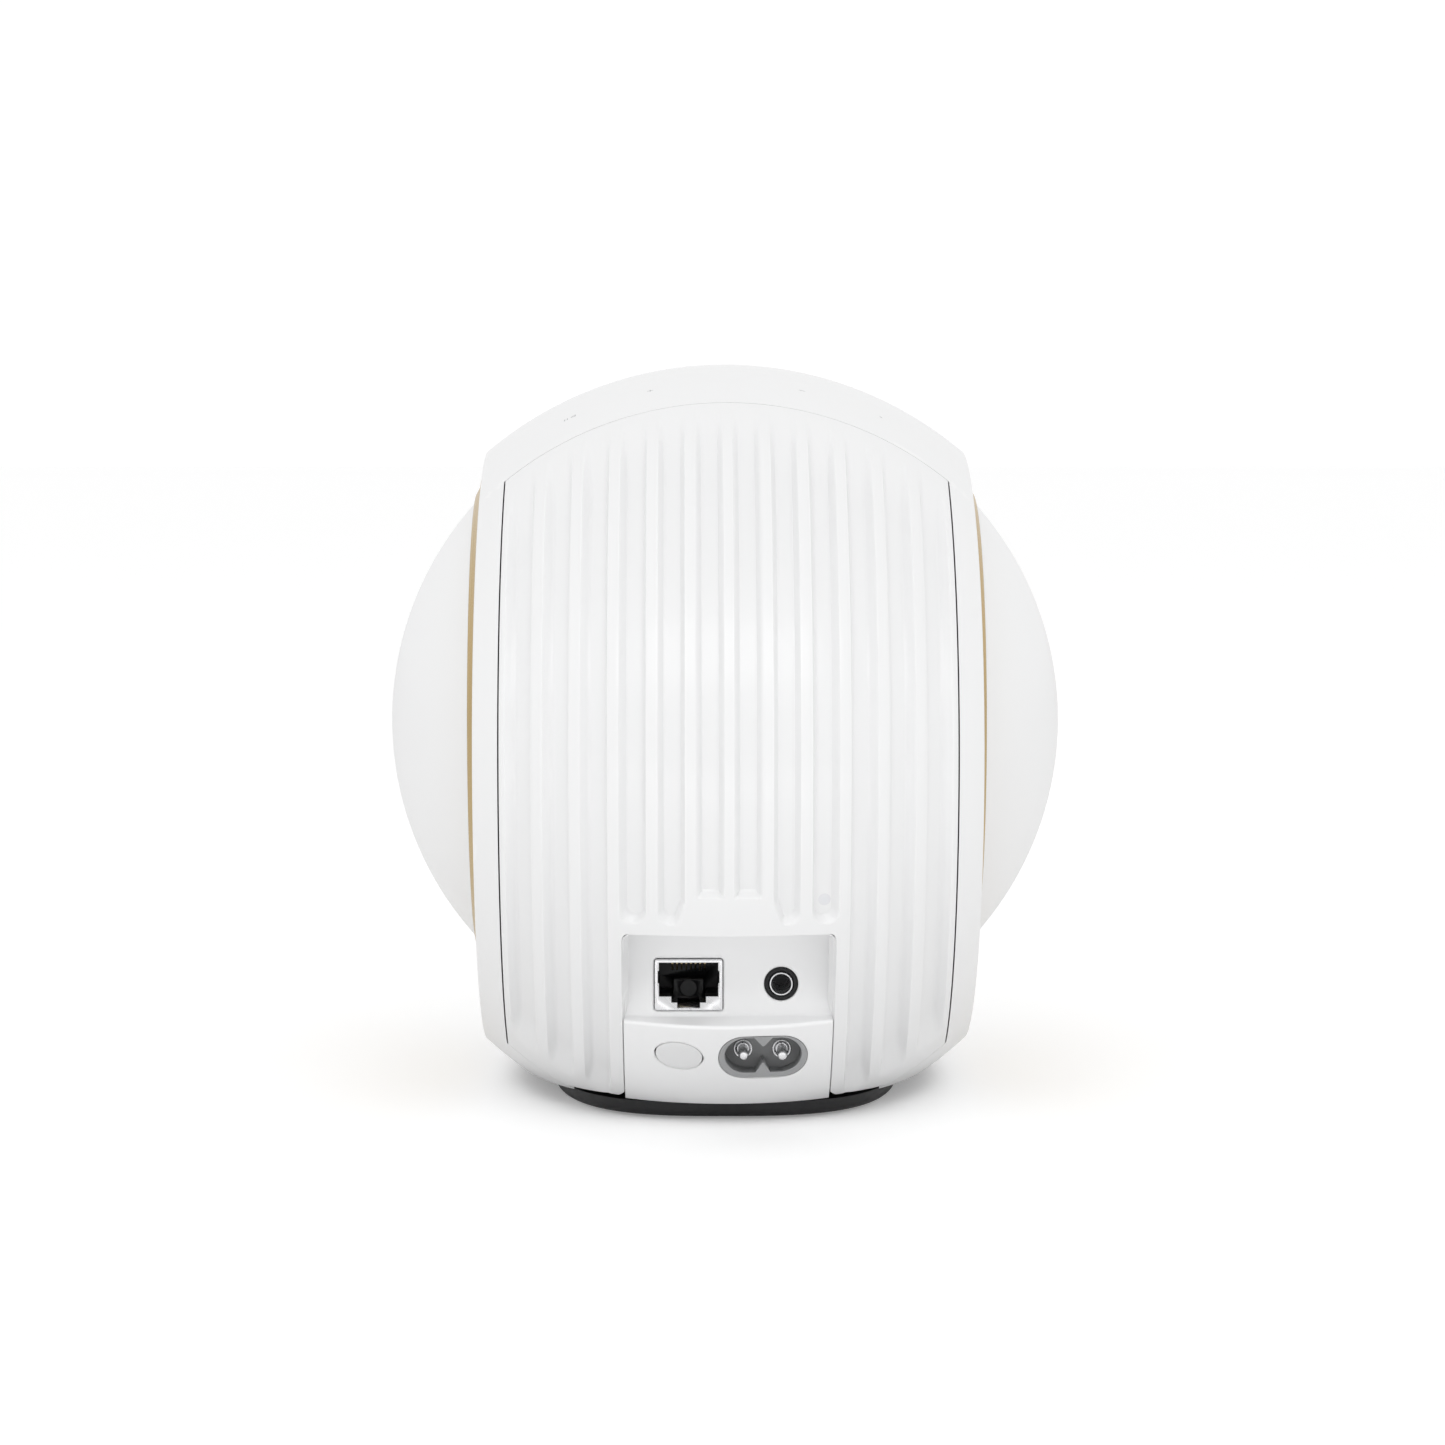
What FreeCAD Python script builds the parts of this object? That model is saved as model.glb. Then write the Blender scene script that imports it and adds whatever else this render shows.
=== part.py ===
import FreeCAD, Part
import math
import os
from FreeCAD import Matrix, Vector

# Compact smart speaker: a fluted heat-sink cover and a one-piece shell wrapped round
# two side-firing dome woofers and a front full-range driver. Millimetres.
# The front faces -Y, the rear with its sockets faces +Y, +Z is up, and the origin is the
# middle of the footprint on the surface that the speaker stands on.

# Outer form: an ellipsoid, fuller below its widest level than above it.
HALF_WIDTH = 86.5
HALF_DEPTH = 109.5
RISE = 86.5
DROP = 94.0
AXIS_Z = 81.5
BASE_CUT_Z = 4.2
FLANK_X = 55.8

# Fits: SEAT between pieces fixed together, SEAM where a joint line shows, RUN between moving ones.
SEAT = 0.1
SEAM = 0.3
RUN = 0.35

# Shell.
SHELL_WALL = 3.0
RIB_X = 41.0
RIB_THICK = 5.0
RIB_HALF_LENGTH = 14.0

# Fluted rear cover.
COVER_HALF_WIDTH = 49.8
COVER_FRONT_Y = 44.2
COVER_WALL = 4.5
CHANNEL_COUNT = 12
CHANNEL_PITCH = 8.3
CHANNEL_WIDTH = 5.5
CHANNEL_DEPTH = 2.2
CHANNEL_TOP_Y = 56.0
CHANNEL_END_RISE = 2.8
PLATEAU_RISE = 9.6
PLATEAU_TOP_HALF = 9.8
PLATEAU_FOOT_HALF = 12.1
LIGHT_RADIUS = 1.35
LIGHT_X = -20.5
LIGHT_RISE = 7.8

# Socket panel: a niche above, a sloped face that follows the outer form below.
PANEL_HALF_WIDTH = 23.1
PANEL_TOP_Z = 48.2
PANEL_CORNER = 1.7
PANEL_WALL = 1.3
PANEL_FACE_WALL = 3.0
PANEL_BACK_WALL = 2.5
LEDGE_Z = 27.2
LEDGE_DEPTH = 7.6
LEDGE_WALL = 1.4
PANEL_POSTS = ((0.0, 44.0), (-19.0, 30.5))
PANEL_POST_RADIUS = 2.0

# Network socket.
NET_X = 8.7
NET_Z = 34.5
NET_WIDTH = 14.9
NET_HEIGHT = 11.35
NET_DEPTH = 16.0
NET_PROUD = 0.3
NET_SHIELD = 0.5
NET_MOUTH_WIDTH = 12.0
NET_MOUTH_HEIGHT = 6.9
NET_STEP_WIDTH = 7.0
NET_STEP_HEIGHT = 1.3
NET_LATCH_WIDTH = 4.6
NET_LATCH_HEIGHT = 1.2
NET_MOUTH_DEPTH = 12.0
NET_PINS = 8
NET_PITCH = 1.016
NET_PIN_THICK = 0.45

# Audio socket.
JACK_X = -11.6
JACK_Z = 34.7
JACK_BORE = 1.8
JACK_BUSH_RADIUS = 2.55
JACK_COLLAR_RADIUS = 3.65
JACK_BODY_HALF = 4.0

# Mains inlet, two pins.
INLET_X = -7.7
INLET_Z = 18.0
INLET_WIDTH = 19.6
INLET_HEIGHT = 11.2
INLET_CAVITY_WIDTH = 17.0
INLET_CAVITY_HEIGHT = 9.4
INLET_CAVITY_DEPTH = 11.9
INLET_LENGTH = 22.0
INLET_KEY = 1.1
INLET_PIN_RADIUS = 1.15
INLET_PIN_PITCH = 8.6
INLET_PIN_LENGTH = 8.5
INLET_PIN_COLLAR = 2.1

# Pairing button, pressed along the normal of the sloped face.
BUTTON_X = 10.9
BUTTON_Z = 18.2
BUTTON_RADIUS = 5.2
BUTTON_TRAVEL = 0.8
BUTTON_LUG = 1.3
BUTTON_SWITCH_HALF = 2.5
BUTTON_SWITCH_HEIGHT = 2.6
BUTTON_BOARD_HALF = 8.4
BUTTON_POST_RADIUS = 0.7

# Side woofers, mirrored. A dome that moves as a whole, closed by a shallow cone.
WOOFER_Z = 84.5
DOME_RADIUS = 76.0
DOME_BASE_RADIUS = 51.7
DOME_APEX_X = 78.5
DOME_WALL = 1.2
DOME_SKIRT = 4.2
DOME_TRAVEL = 5.0
RING_GAP = 1.0
RING_CREST = 0.8
RING_WIDTH = 3.1
RING_DROP = 1.9
PANEL_SLOPE = 0.127
FLANK_THICK = 1.2
SURROUND_THICK = 0.6
SURROUND_DROP = 3.0
FOLD_WIDTH = 2.8
FOLD_STEPS = 12
SURROUND_LAND = 5.2
BASKET_THICK = 2.5
BASKET_COLLAR_X = 26.0
BASKET_ARM_X = 31.0
BASKET_WINDOWS = 6
BASKET_WINDOW_R = 45.5
BASKET_WINDOW_RADIUS = 6.5
CONE_THICK = 0.8
COIL_INNER = 24.0
FORMER_THICK = 0.6
COIL_THICK = 1.9
COIL_LENGTH = 9.0
COIL_START_X = 24.5
AIR_GAP = 0.5
YOKE_RADIUS = 34.0
YOKE_BACK = 6.0
YOKE_TOP_X = 34.0
POLE_PLATE_THICK = 7.0
MAGNET_STEP = 1.5
WEB_HALF = 2.9
BARREL_WALL = 4.5
WEB_WINDOW_R = 46.0
WEB_WINDOW_RADIUS = 8.0
SPIDER_X = 39.4
SPIDER_THICK = 0.6
SPIDER_WAVE = 0.7
SPIDER_WAVES = 5
SPIDER_FIT = 0.6

# Front driver behind its perforated grille.
GRILLE_RADIUS = 35.5
GRILLE_THICK = 1.5
GRILLE_HOLE_RADIUS = 1.5
GRILLE_HOLE_PITCH = 5.0
TRIM_WIDTH = 2.6
COLLAR_WALL = 2.6
COLLAR_DEPTH = 6.0
DRIVER_CONE_RADIUS = 25.5
DRIVER_CONE_DEPTH = 8.0
DRIVER_COIL_RADIUS = 9.5
DRIVER_COIL_LENGTH = 8.0
DRIVER_FOLD = 3.4
DRIVER_DROP = 1.6
DRIVER_TRAVEL = 1.5
DRIVER_CAP_RISE = 2.6
DRIVER_MAGNET_RADIUS = 20.0
DRIVER_MAGNET_THICK = 11.0
DRIVER_WINDOW_R = 25.5
DRIVER_WINDOW_RADIUS = 4.0

# Foot.
FOOT_GAP = 0.2
FOOT_PLATE = 3.0
FOOT_SIDE_TUCK = 8.7
FOOT_END_TUCK = 2.6
FOOT_FULLNESS = 2.9
FOOT_POINTS = 48
FOOT_NECK_INSET = 4.2
PAD_THICK = 1.5
PAD_PROUD = 0.5
PAD_INSET = 10.2
PILLAR_X = 24.0
PILLAR_Y = 20.0
PILLAR_RADIUS = 4.0
SCREW_RADIUS = 1.4
SCREW_HEAD_RADIUS = 2.8
SCREW_HEAD = 1.8
SCREW_LENGTH = 9.0
SCREW_FIT = 0.1

# Boards.
BOARD = 1.6
STANDOFF_RADIUS = 2.6
POWER_BOARD_RISE = 2.6
POWER_HALF_X = 26.0
POWER_Y = (28.0, 51.0)
TRANSFORMER_LOW = (-24.0, 32.0)
TRANSFORMER_HIGH = (-2.0, 50.0)
TRANSFORMER_HEIGHT = 13.0
CAPACITOR_PLACES = ((8.0, 36.0), (20.0, 36.0), (14.0, 47.5))
CAPACITOR_RADIUS = 5.0
CAPACITOR_HEIGHT = 15.0
AMP_HALF_X = 36.0
AMP_HALF_Z = 33.0
AMP_POST_X = 31.0
AMP_POST_Z = 26.0
AMP_MARGIN = 8.0
CHIP = 1.4
CHIP_SPOTS = ((-7.0, 12.0, 14.0, 14.0), (14.0, -14.0, 10.0, 10.0), (-20.0, -16.0, 12.0, 9.0))
SPREADER_HALF_X = 9.0
SPREADER_RISE = (10.0, 28.0)
CONTROL_HALF_X = 28.0
CONTROL_HALF_Y = 22.0
CONTROL_RISE = 3.5
TOUCH_HALF_X = 42.0
TOUCH_Y = (22.0, 38.0)
TOUCH_THICK = 0.4
ANTENNA_WIDTH = 24.0
ANTENNA_HEIGHT = 5.5
CONTROL_MARGIN = 4.0
IO_BOARD_X = (-20.5, 18.0)
IO_BOARD_Z = (28.5, 46.2)

# Reach of tool bodies that cut right through.
FAR = 260.0

X_AXIS = Vector(1, 0, 0)
Y_AXIS = Vector(0, 1, 0)
Z_AXIS = Vector(0, 0, 1)
ORIGIN = Vector(0, 0, 0)
WOOFER_AXIS = Vector(0, 0, WOOFER_Z)

form_cache = {}


def form_level(z, inset):
    """Share of the widest section that the outer form still has at height z."""
    reach = (RISE if z > AXIS_Z else DROP) - inset
    return (z - AXIS_Z) / reach


def form_y(x, z, inset=0.0):
    """Half depth of the outer form at (x, z)."""
    across = x / (HALF_WIDTH - inset)
    return (HALF_DEPTH - inset) * math.sqrt(1 - across ** 2 - form_level(z, inset) ** 2)


def form_x(y, z, inset=0.0):
    """Half width of the outer form at (y, z)."""
    along = y / (HALF_DEPTH - inset)
    return (HALF_WIDTH - inset) * math.sqrt(1 - along ** 2 - form_level(z, inset) ** 2)


def form(inset=0.0):
    """The outer form as a solid, drawn in by inset."""
    if inset not in form_cache:
        halves = []
        for turn, reach in ((-90, RISE), (90, DROP)):
            half = Part.makeSphere(1, ORIGIN, X_AXIS, -90, 90, 180)
            half.rotate(ORIGIN, X_AXIS, turn)
            scale = Matrix()
            scale.scale(HALF_WIDTH - inset, HALF_DEPTH - inset, reach - inset)
            half = half.transformGeometry(scale)
            half.translate(Vector(0, 0, AXIS_Z))
            halves.append(half)
        form_cache[inset] = halves[0].fuse(halves[1])
    return form_cache[inset].copy()


def box(low, high):
    """Box between two corners."""
    size = [high[i] - low[i] for i in range(3)]
    return Part.makeBox(size[0], size[1], size[2], Vector(*low))


def rod(radius, start, end):
    """Cylinder between two points."""
    start = Vector(*start)
    along = Vector(*end) - start
    return Part.makeCylinder(radius, along.Length, start, along)


def tube(outer, inner, start, end):
    """Pipe between two points."""
    return rod(outer, start, end).cut(rod(inner, start, end))


def turned(points, centre, axis, radial):
    """Solid of revolution from (radius, along) points."""
    corners = [centre + radial * r + axis * t for r, t in points]
    face = Part.Face(Part.makePolygon(corners + corners[:1]))
    return face.revolve(centre, axis, 360)


def woofer_turned(points):
    """Piece of the +X woofer, turned about its axis."""
    return turned(points, WOOFER_AXIS, X_AXIS, Z_AXIS)


def driver_turned(points):
    """Piece of the front driver, turned about its axis. Along runs out of the front."""
    return turned(points, WOOFER_AXIS, -Y_AXIS, Z_AXIS)


def oval(centre_x, centre_z, width, height, y_low, y_high):
    """Bar along Y with a round-ended section."""
    radius = height / 2
    half = width / 2 - radius
    bar = box((centre_x - half, y_low, centre_z - radius), (centre_x + half, y_high, centre_z + radius))
    for side in (-1, 1):
        x = centre_x + side * half
        bar = bar.fuse(rod(radius, (x, y_low, centre_z), (x, y_high, centre_z)))
    return bar.removeSplitter()


def group(shapes):
    """Several separate solids kept in one node."""
    return Part.makeCompound(shapes)


def mirrored(shape):
    """The same piece on the -X side."""
    return shape.mirror(ORIGIN, X_AXIS)


def save(name, shape):
    """Write one node."""
    shape.exportStep("parts/" + name + ".step")


# Places worked out from the sizes above.
dome_centre_x = DOME_APEX_X - DOME_RADIUS
dome_base_x = dome_centre_x + math.sqrt(DOME_RADIUS ** 2 - DOME_BASE_RADIUS ** 2)
surround_x = dome_base_x - DOME_SKIRT - SEAT - SURROUND_THICK
fold_outer_r = DOME_BASE_RADIUS + 0.3 + FOLD_WIDTH
land_outer_r = fold_outer_r + SURROUND_LAND
basket_outer_r = land_outer_r + 0.5
basket_inner_r = DOME_BASE_RADIUS + RING_GAP + 0.3
flange_top_x = surround_x - SURROUND_DROP
flange_low_x = flange_top_x - BASKET_THICK
basket_arm_x = flange_low_x - 0.6
barrel_radius = basket_outer_r + 1.5
barrel_half = flange_low_x - SEAT
former_outer = COIL_INNER + FORMER_THICK
coil_outer = former_outer + SEAT + COIL_THICK
yoke_low_x = WEB_HALF + SEAT
panel_back_y = form_y(0, LEDGE_Z) - LEDGE_DEPTH
panel_inner_y = panel_back_y - PANEL_BACK_WALL
net_back_y = panel_back_y + NET_PROUD - NET_DEPTH
inlet_mouth_y = form_y(0, INLET_Z)
inlet_floor_y = inlet_mouth_y - INLET_CAVITY_DEPTH
foot_plate_low = BASE_CUT_Z + FOOT_GAP
foot_plate_top = foot_plate_low + FOOT_PLATE
foot_seat_half = form_x(0, foot_plate_low, SHELL_WALL + SEAM)
foot_top = BASE_CUT_Z - FOOT_GAP
channel_end_z = PANEL_TOP_Z + CHANNEL_END_RISE
plateau_top_z = PANEL_TOP_Z + PLATEAU_RISE
amp_board_y = form_y(AMP_HALF_X, WOOFER_Z + AMP_HALF_Z, COVER_WALL) - AMP_MARGIN
control_board_z = WOOFER_Z + barrel_radius + CONTROL_RISE
control_post_x = CONTROL_HALF_X - CONTROL_MARGIN
control_post_y = CONTROL_HALF_Y - CONTROL_MARGIN
trim_outer_r = GRILLE_RADIUS + SEAT + TRIM_WIDTH
collar_outer_r = trim_outer_r + SEAT + COLLAR_WALL
driver_face = form_y(collar_outer_r, WOOFER_Z, SHELL_WALL) - COLLAR_DEPTH
driver_flange_low = driver_face - SEAT - BASKET_THICK


def main_shell():
    """One-piece band: front, top and bottom, and a strip each side of the rear cover."""
    wide = box((-FLANK_X, -FAR, BASE_CUT_Z), (FLANK_X, FAR, FAR))
    shell = form().common(wide).cut(form(SHELL_WALL))
    rear = COVER_HALF_WIDTH + SEAM
    shell = shell.cut(box((-rear, COVER_FRONT_Y - SEAM, -FAR), (rear, FAR, FAR)))
    collar = rod(collar_outer_r, (0, -driver_face, WOOFER_Z), (0, -FAR, WOOFER_Z))
    collar = collar.common(form(SHELL_WALL / 2))
    ribs = []
    for side in (-1, 1):
        x = side * RIB_X
        rib = box((x - RIB_THICK / 2, -RIB_HALF_LENGTH, WOOFER_Z),
                  (x + RIB_THICK / 2, RIB_HALF_LENGTH, FAR))
        rib = rib.common(form(SHELL_WALL / 2))
        ribs.append(rib.cut(rod(barrel_radius + SEAT, (-FAR, 0, WOOFER_Z), (FAR, 0, WOOFER_Z))))
    shell = shell.fuse([collar] + ribs)
    return shell.cut(rod(trim_outer_r + SEAT, (0, 0, WOOFER_Z), (0, -FAR, WOOFER_Z)))


def channel_slots():
    """Bars that the cover's channels are cut with. The middle ones stop short of the panel."""
    half = CHANNEL_WIDTH / 2
    bars = []
    for i in range(CHANNEL_COUNT):
        x = (i - (CHANNEL_COUNT - 1) / 2) * CHANNEL_PITCH
        open_below = abs(x) - half > PANEL_HALF_WIDTH
        end_z = -FAR if open_below else channel_end_z
        if abs(x) < PLATEAU_TOP_HALF - half:
            end_z = plateau_top_z
        bar = box((x - half, CHANNEL_TOP_Y + half, end_z + half), (x + half, FAR, FAR))
        round_top = rod(half, (x, CHANNEL_TOP_Y + half, AXIS_Z), (x, CHANNEL_TOP_Y + half, FAR))
        bar = bar.fuse(round_top)
        if not open_below:
            round_end = rod(half, (x, CHANNEL_TOP_Y + half, end_z + half), (x, FAR, end_z + half))
            bar = bar.fuse(round_end)
        bars.append(bar)
    plateau = Part.Face(Part.makePolygon([
        Vector(-PLATEAU_TOP_HALF, 0, plateau_top_z),
        Vector(PLATEAU_TOP_HALF, 0, plateau_top_z),
        Vector(PLATEAU_FOOT_HALF, 0, PANEL_TOP_Z),
        Vector(-PLATEAU_FOOT_HALF, 0, PANEL_TOP_Z),
        Vector(-PLATEAU_TOP_HALF, 0, plateau_top_z)])).extrude(Vector(0, FAR, 0))
    return group(bars).cut(plateau)


def panel_block(margin):
    """The upright block that the socket panel fills, with its two upper corners rounded."""
    half = PANEL_HALF_WIDTH + margin
    block = box((-half, 0, -FAR), (half, FAR, PANEL_TOP_Z + margin))
    corners = [edge for edge in block.Edges
               if abs(edge.BoundBox.ZMin - PANEL_TOP_Z - margin) < SEAT
               and edge.BoundBox.YLength > PANEL_HALF_WIDTH]
    return block.makeFillet(PANEL_CORNER, corners)


def rear_heatsink_cover():
    """Fluted cover over the rear, with the socket panel's opening and the light's hole."""
    band = box((-COVER_HALF_WIDTH, COVER_FRONT_Y, BASE_CUT_Z), (COVER_HALF_WIDTH, FAR, FAR))
    cover = form().common(band).cut(form(COVER_WALL))
    cover = cover.cut(channel_slots().cut(form(CHANNEL_DEPTH)))
    cover = cover.cut(panel_block(SEAM / 2))
    mouth = box((-FAR, 0, -FAR), (FAR, FAR, foot_plate_top + SEAT))
    cover = cover.cut(form(SHELL_WALL).common(mouth))
    light_z = PANEL_TOP_Z + LIGHT_RISE
    return cover.cut(rod(LIGHT_RADIUS + SEAT, (LIGHT_X, 0, light_z), (LIGHT_X, FAR, light_z)))


def status_light_window():
    """Small lens flush with the floor of its channel."""
    light_z = PANEL_TOP_Z + LIGHT_RISE
    lens = rod(LIGHT_RADIUS, (LIGHT_X, 0, light_z), (LIGHT_X, FAR, light_z))
    return lens.common(form(CHANNEL_DEPTH)).cut(form(COVER_WALL + 1))


def button_frame():
    """Place, outward normal and cross direction of the button on the sloped face."""
    y = form_y(BUTTON_X, BUTTON_Z)
    normal = Vector(BUTTON_X / HALF_WIDTH ** 2, y / HALF_DEPTH ** 2, (BUTTON_Z - AXIS_Z) / DROP ** 2)
    normal.normalize()
    cross = normal.cross(Z_AXIS)
    cross.normalize()
    return Vector(BUTTON_X, y, BUTTON_Z), normal, cross


def button_rod(radius, deep_from, deep_to, shift=0.0):
    """Cylinder along the button's axis, between two depths below the face."""
    place, normal, cross = button_frame()
    start = place + cross * shift - normal * deep_from
    end = place + cross * shift - normal * deep_to
    return rod(radius, start, end)


def button_block(half_cross, half_up, deep_from, deep_to):
    """Box square to the button's axis, between two depths below the face."""
    place, normal, cross = button_frame()
    up = cross.cross(normal)
    base = place - normal * deep_to
    corners = [base + cross * (half_cross * a) + up * (half_up * b)
               for a, b in ((-1, -1), (1, -1), (1, 1), (-1, 1), (-1, -1))]
    return Part.Face(Part.makePolygon(corners)).extrude(normal * (deep_to - deep_from))


button_lug_low = PANEL_FACE_WALL + RUN
button_tail = button_lug_low + 0.8
button_switch_top = button_tail + BUTTON_TRAVEL + RUN
button_board_top = button_switch_top + BUTTON_SWITCH_HEIGHT + SEAT


def pairing_button():
    """Round key, flush with the face, held by two lugs behind it."""
    key = button_rod(BUTTON_RADIUS, -5, button_tail).common(form())
    lugs = button_block(BUTTON_RADIUS + BUTTON_LUG, 1.8, button_lug_low, button_tail)
    return key.fuse(lugs).removeSplitter()


def button_switch():
    """Tact switch under the key."""
    return button_block(BUTTON_SWITCH_HALF, BUTTON_SWITCH_HALF, button_switch_top,
                        button_switch_top + BUTTON_SWITCH_HEIGHT)


def button_board():
    """Small board that carries the tact switch."""
    return button_block(BUTTON_BOARD_HALF, 3.6, button_board_top, button_board_top + BOARD / 2)


def net_box(margin, y_low, y_high):
    """Block of the network socket's outline."""
    half = NET_WIDTH / 2 + margin
    tall = NET_HEIGHT / 2 + margin
    return box((NET_X - half, y_low, NET_Z - tall), (NET_X + half, y_high, NET_Z + tall))


def io_panel():
    """Socket panel: flat niche back, ledge, and sloped face below it."""
    outer = panel_block(0).common(form())
    outer = outer.common(box((-FAR, panel_inner_y - 18, BASE_CUT_Z), (FAR, FAR, FAR)))
    inner_half = PANEL_HALF_WIDTH - PANEL_WALL
    niche = box((-inner_half, panel_back_y, LEDGE_Z), (inner_half, FAR, PANEL_TOP_Z - PANEL_WALL))
    behind = box((-inner_half, 0, LEDGE_Z - LEDGE_WALL),
                 (inner_half, panel_inner_y, PANEL_TOP_Z - PANEL_WALL))
    below = box((-inner_half, 0, -FAR), (inner_half, FAR, LEDGE_Z - LEDGE_WALL))
    below = below.common(form(PANEL_FACE_WALL))
    panel = outer.cut([niche, behind, below])
    board_y = net_back_y
    posts = [rod(PANEL_POST_RADIUS, (x, board_y, z), (x, panel_inner_y + 1, z)) for x, z in PANEL_POSTS]
    for side in (-1, 1):
        shift = side * (BUTTON_BOARD_HALF - BUTTON_POST_RADIUS - SEAT)
        posts.append(button_rod(BUTTON_POST_RADIUS, PANEL_FACE_WALL / 2, button_board_top - SEAT, shift))
    panel = panel.fuse(posts)
    cuts = [net_box(SEAT, 0, FAR),
            rod(JACK_COLLAR_RADIUS + SEAT, (JACK_X, 0, JACK_Z), (JACK_X, FAR, JACK_Z)),
            oval(INLET_X, INLET_Z, INLET_WIDTH + 2 * SEAT, INLET_HEIGHT + 2 * SEAT, 0, FAR),
            button_rod(BUTTON_RADIUS + RUN, -8, button_switch_top)]
    return panel.cut(cuts)


def net_mouth():
    """Open space of the network socket: plug body, then the two steps of its latch."""
    top = NET_Z + NET_HEIGHT / 2 - NET_SHIELD - 0.6
    y_low = panel_back_y + NET_PROUD - NET_MOUTH_DEPTH
    steps = ((NET_MOUTH_WIDTH, NET_MOUTH_HEIGHT), (NET_STEP_WIDTH, NET_STEP_HEIGHT),
             (NET_LATCH_WIDTH, NET_LATCH_HEIGHT))
    mouth = None
    for width, height in steps:
        piece = box((NET_X - width / 2, y_low, top - height), (NET_X + width / 2, FAR, top))
        mouth = mouth.fuse(piece) if mouth else piece
        top -= height
    return mouth.removeSplitter()


def net_socket():
    """Shield, insulator and contacts of the network socket."""
    y_high = panel_back_y + NET_PROUD
    shield = net_box(0, net_back_y, y_high).cut(net_box(-NET_SHIELD, 0, FAR))
    insert = net_box(-NET_SHIELD - SEAT, net_back_y, y_high - 0.4).cut(net_mouth())
    contacts = []
    top = NET_Z + NET_HEIGHT / 2 - NET_SHIELD - 0.6
    y_deep = y_high - NET_MOUTH_DEPTH
    for i in range(NET_PINS):
        x = NET_X + (i - (NET_PINS - 1) / 2) * NET_PITCH
        half = NET_PIN_THICK / 2
        wire = Part.Face(Part.makePolygon([
            Vector(x - half, y_deep, top - 0.05),
            Vector(x - half, y_high - 1.4, top - 0.05),
            Vector(x - half, y_high - 1.4, top - 0.5),
            Vector(x - half, y_deep + 2.0, top - 2.6),
            Vector(x - half, y_deep + 1.5, top - 2.3),
            Vector(x - half, y_deep, top - 1.4),
            Vector(x - half, y_deep, top - 0.05)]))
        contacts.append(wire.extrude(Vector(NET_PIN_THICK, 0, 0)))
    return shield, insert, group(contacts)


def jack():
    """Audio socket: moulded body with a collar, and the metal bushing inside the collar."""
    y_high = panel_back_y + SEAT
    body = box((JACK_X - JACK_BODY_HALF, net_back_y, JACK_Z - JACK_BODY_HALF),
               (JACK_X + JACK_BODY_HALF, panel_inner_y - SEAT, JACK_Z + JACK_BODY_HALF))
    body = body.fuse(rod(JACK_COLLAR_RADIUS, (JACK_X, net_back_y, JACK_Z), (JACK_X, y_high, JACK_Z)))
    body = body.cut(rod(JACK_BUSH_RADIUS + SEAT, (JACK_X, net_back_y + 1.5, JACK_Z),
                        (JACK_X, FAR, JACK_Z)))
    bush = tube(JACK_BUSH_RADIUS, JACK_BORE, (JACK_X, net_back_y + 1.6, JACK_Z),
                (JACK_X, y_high + 0.3, JACK_Z))
    return body, bush


def inlet():
    """Mains inlet moulding, cut to the slope of the face, and its two pins."""
    y_low = inlet_mouth_y - INLET_LENGTH
    body = oval(INLET_X, INLET_Z, INLET_WIDTH, INLET_HEIGHT, y_low, FAR).common(form())
    cavity = oval(INLET_X, INLET_Z, INLET_CAVITY_WIDTH, INLET_CAVITY_HEIGHT, inlet_floor_y, FAR)
    for side in (-1, 1):
        edge = INLET_Z + side * (INLET_CAVITY_HEIGHT / 2 + 0.2)
        key = Part.Face(Part.makePolygon([
            Vector(INLET_X - 2 * INLET_KEY, inlet_floor_y, edge),
            Vector(INLET_X, inlet_floor_y, edge - side * (INLET_KEY + 0.2)),
            Vector(INLET_X + 2 * INLET_KEY, inlet_floor_y, edge),
            Vector(INLET_X - 2 * INLET_KEY, inlet_floor_y, edge)]))
        cavity = cavity.cut(key.extrude(Vector(0, FAR, 0)))
    body = body.cut(cavity)
    pins = []
    for side in (-1, 1):
        x = INLET_X + side * INLET_PIN_PITCH / 2
        tip = inlet_floor_y + INLET_PIN_LENGTH
        pin = rod(INLET_PIN_RADIUS, (x, y_low - 1, INLET_Z), (x, tip, INLET_Z))
        tip_edges = [edge for edge in pin.Edges if abs(edge.BoundBox.YMin - tip) < 0.01]
        pin = pin.makeFillet(INLET_PIN_RADIUS * 0.6, tip_edges)
        collar = rod(INLET_PIN_COLLAR, (x, inlet_floor_y + 0.05, INLET_Z),
                     (x, inlet_floor_y + 0.6, INLET_Z))
        pins.append(pin.fuse(collar))
        body = body.cut(rod(INLET_PIN_RADIUS + 0.05, (x, y_low - 1, INLET_Z), (x, FAR, INLET_Z)))
    return body, group(pins)


def flank_panel():
    """Brushed metal panel dished round the woofer, with a raised lip next to the dome."""
    inner = DOME_BASE_RADIUS + RING_GAP
    crest = dome_base_x + RING_CREST
    valley = inner + RING_WIDTH
    edge = HALF_DEPTH
    edge_x = crest - RING_DROP - (edge - valley) * PANEL_SLOPE
    outer = [(inner, crest), (valley, crest - RING_DROP), (edge, edge_x)]
    under = [(r, x - FLANK_THICK) for r, x in reversed(outer)]
    return woofer_turned(outer + under).common(form(SHELL_WALL + SEAM))


def arc_at(centre_x, radius, low_r, high_r):
    """Arc of a circle centred on the woofer's axis, from one distance off the axis to another."""
    points = []
    for r in (low_r, (low_r + high_r) / 2, high_r):
        points.append(Vector(centre_x + math.sqrt(radius ** 2 - r ** 2), 0, WOOFER_Z + r))
    return Part.Arc(*points).toShape(), points[0], points[2]


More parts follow.
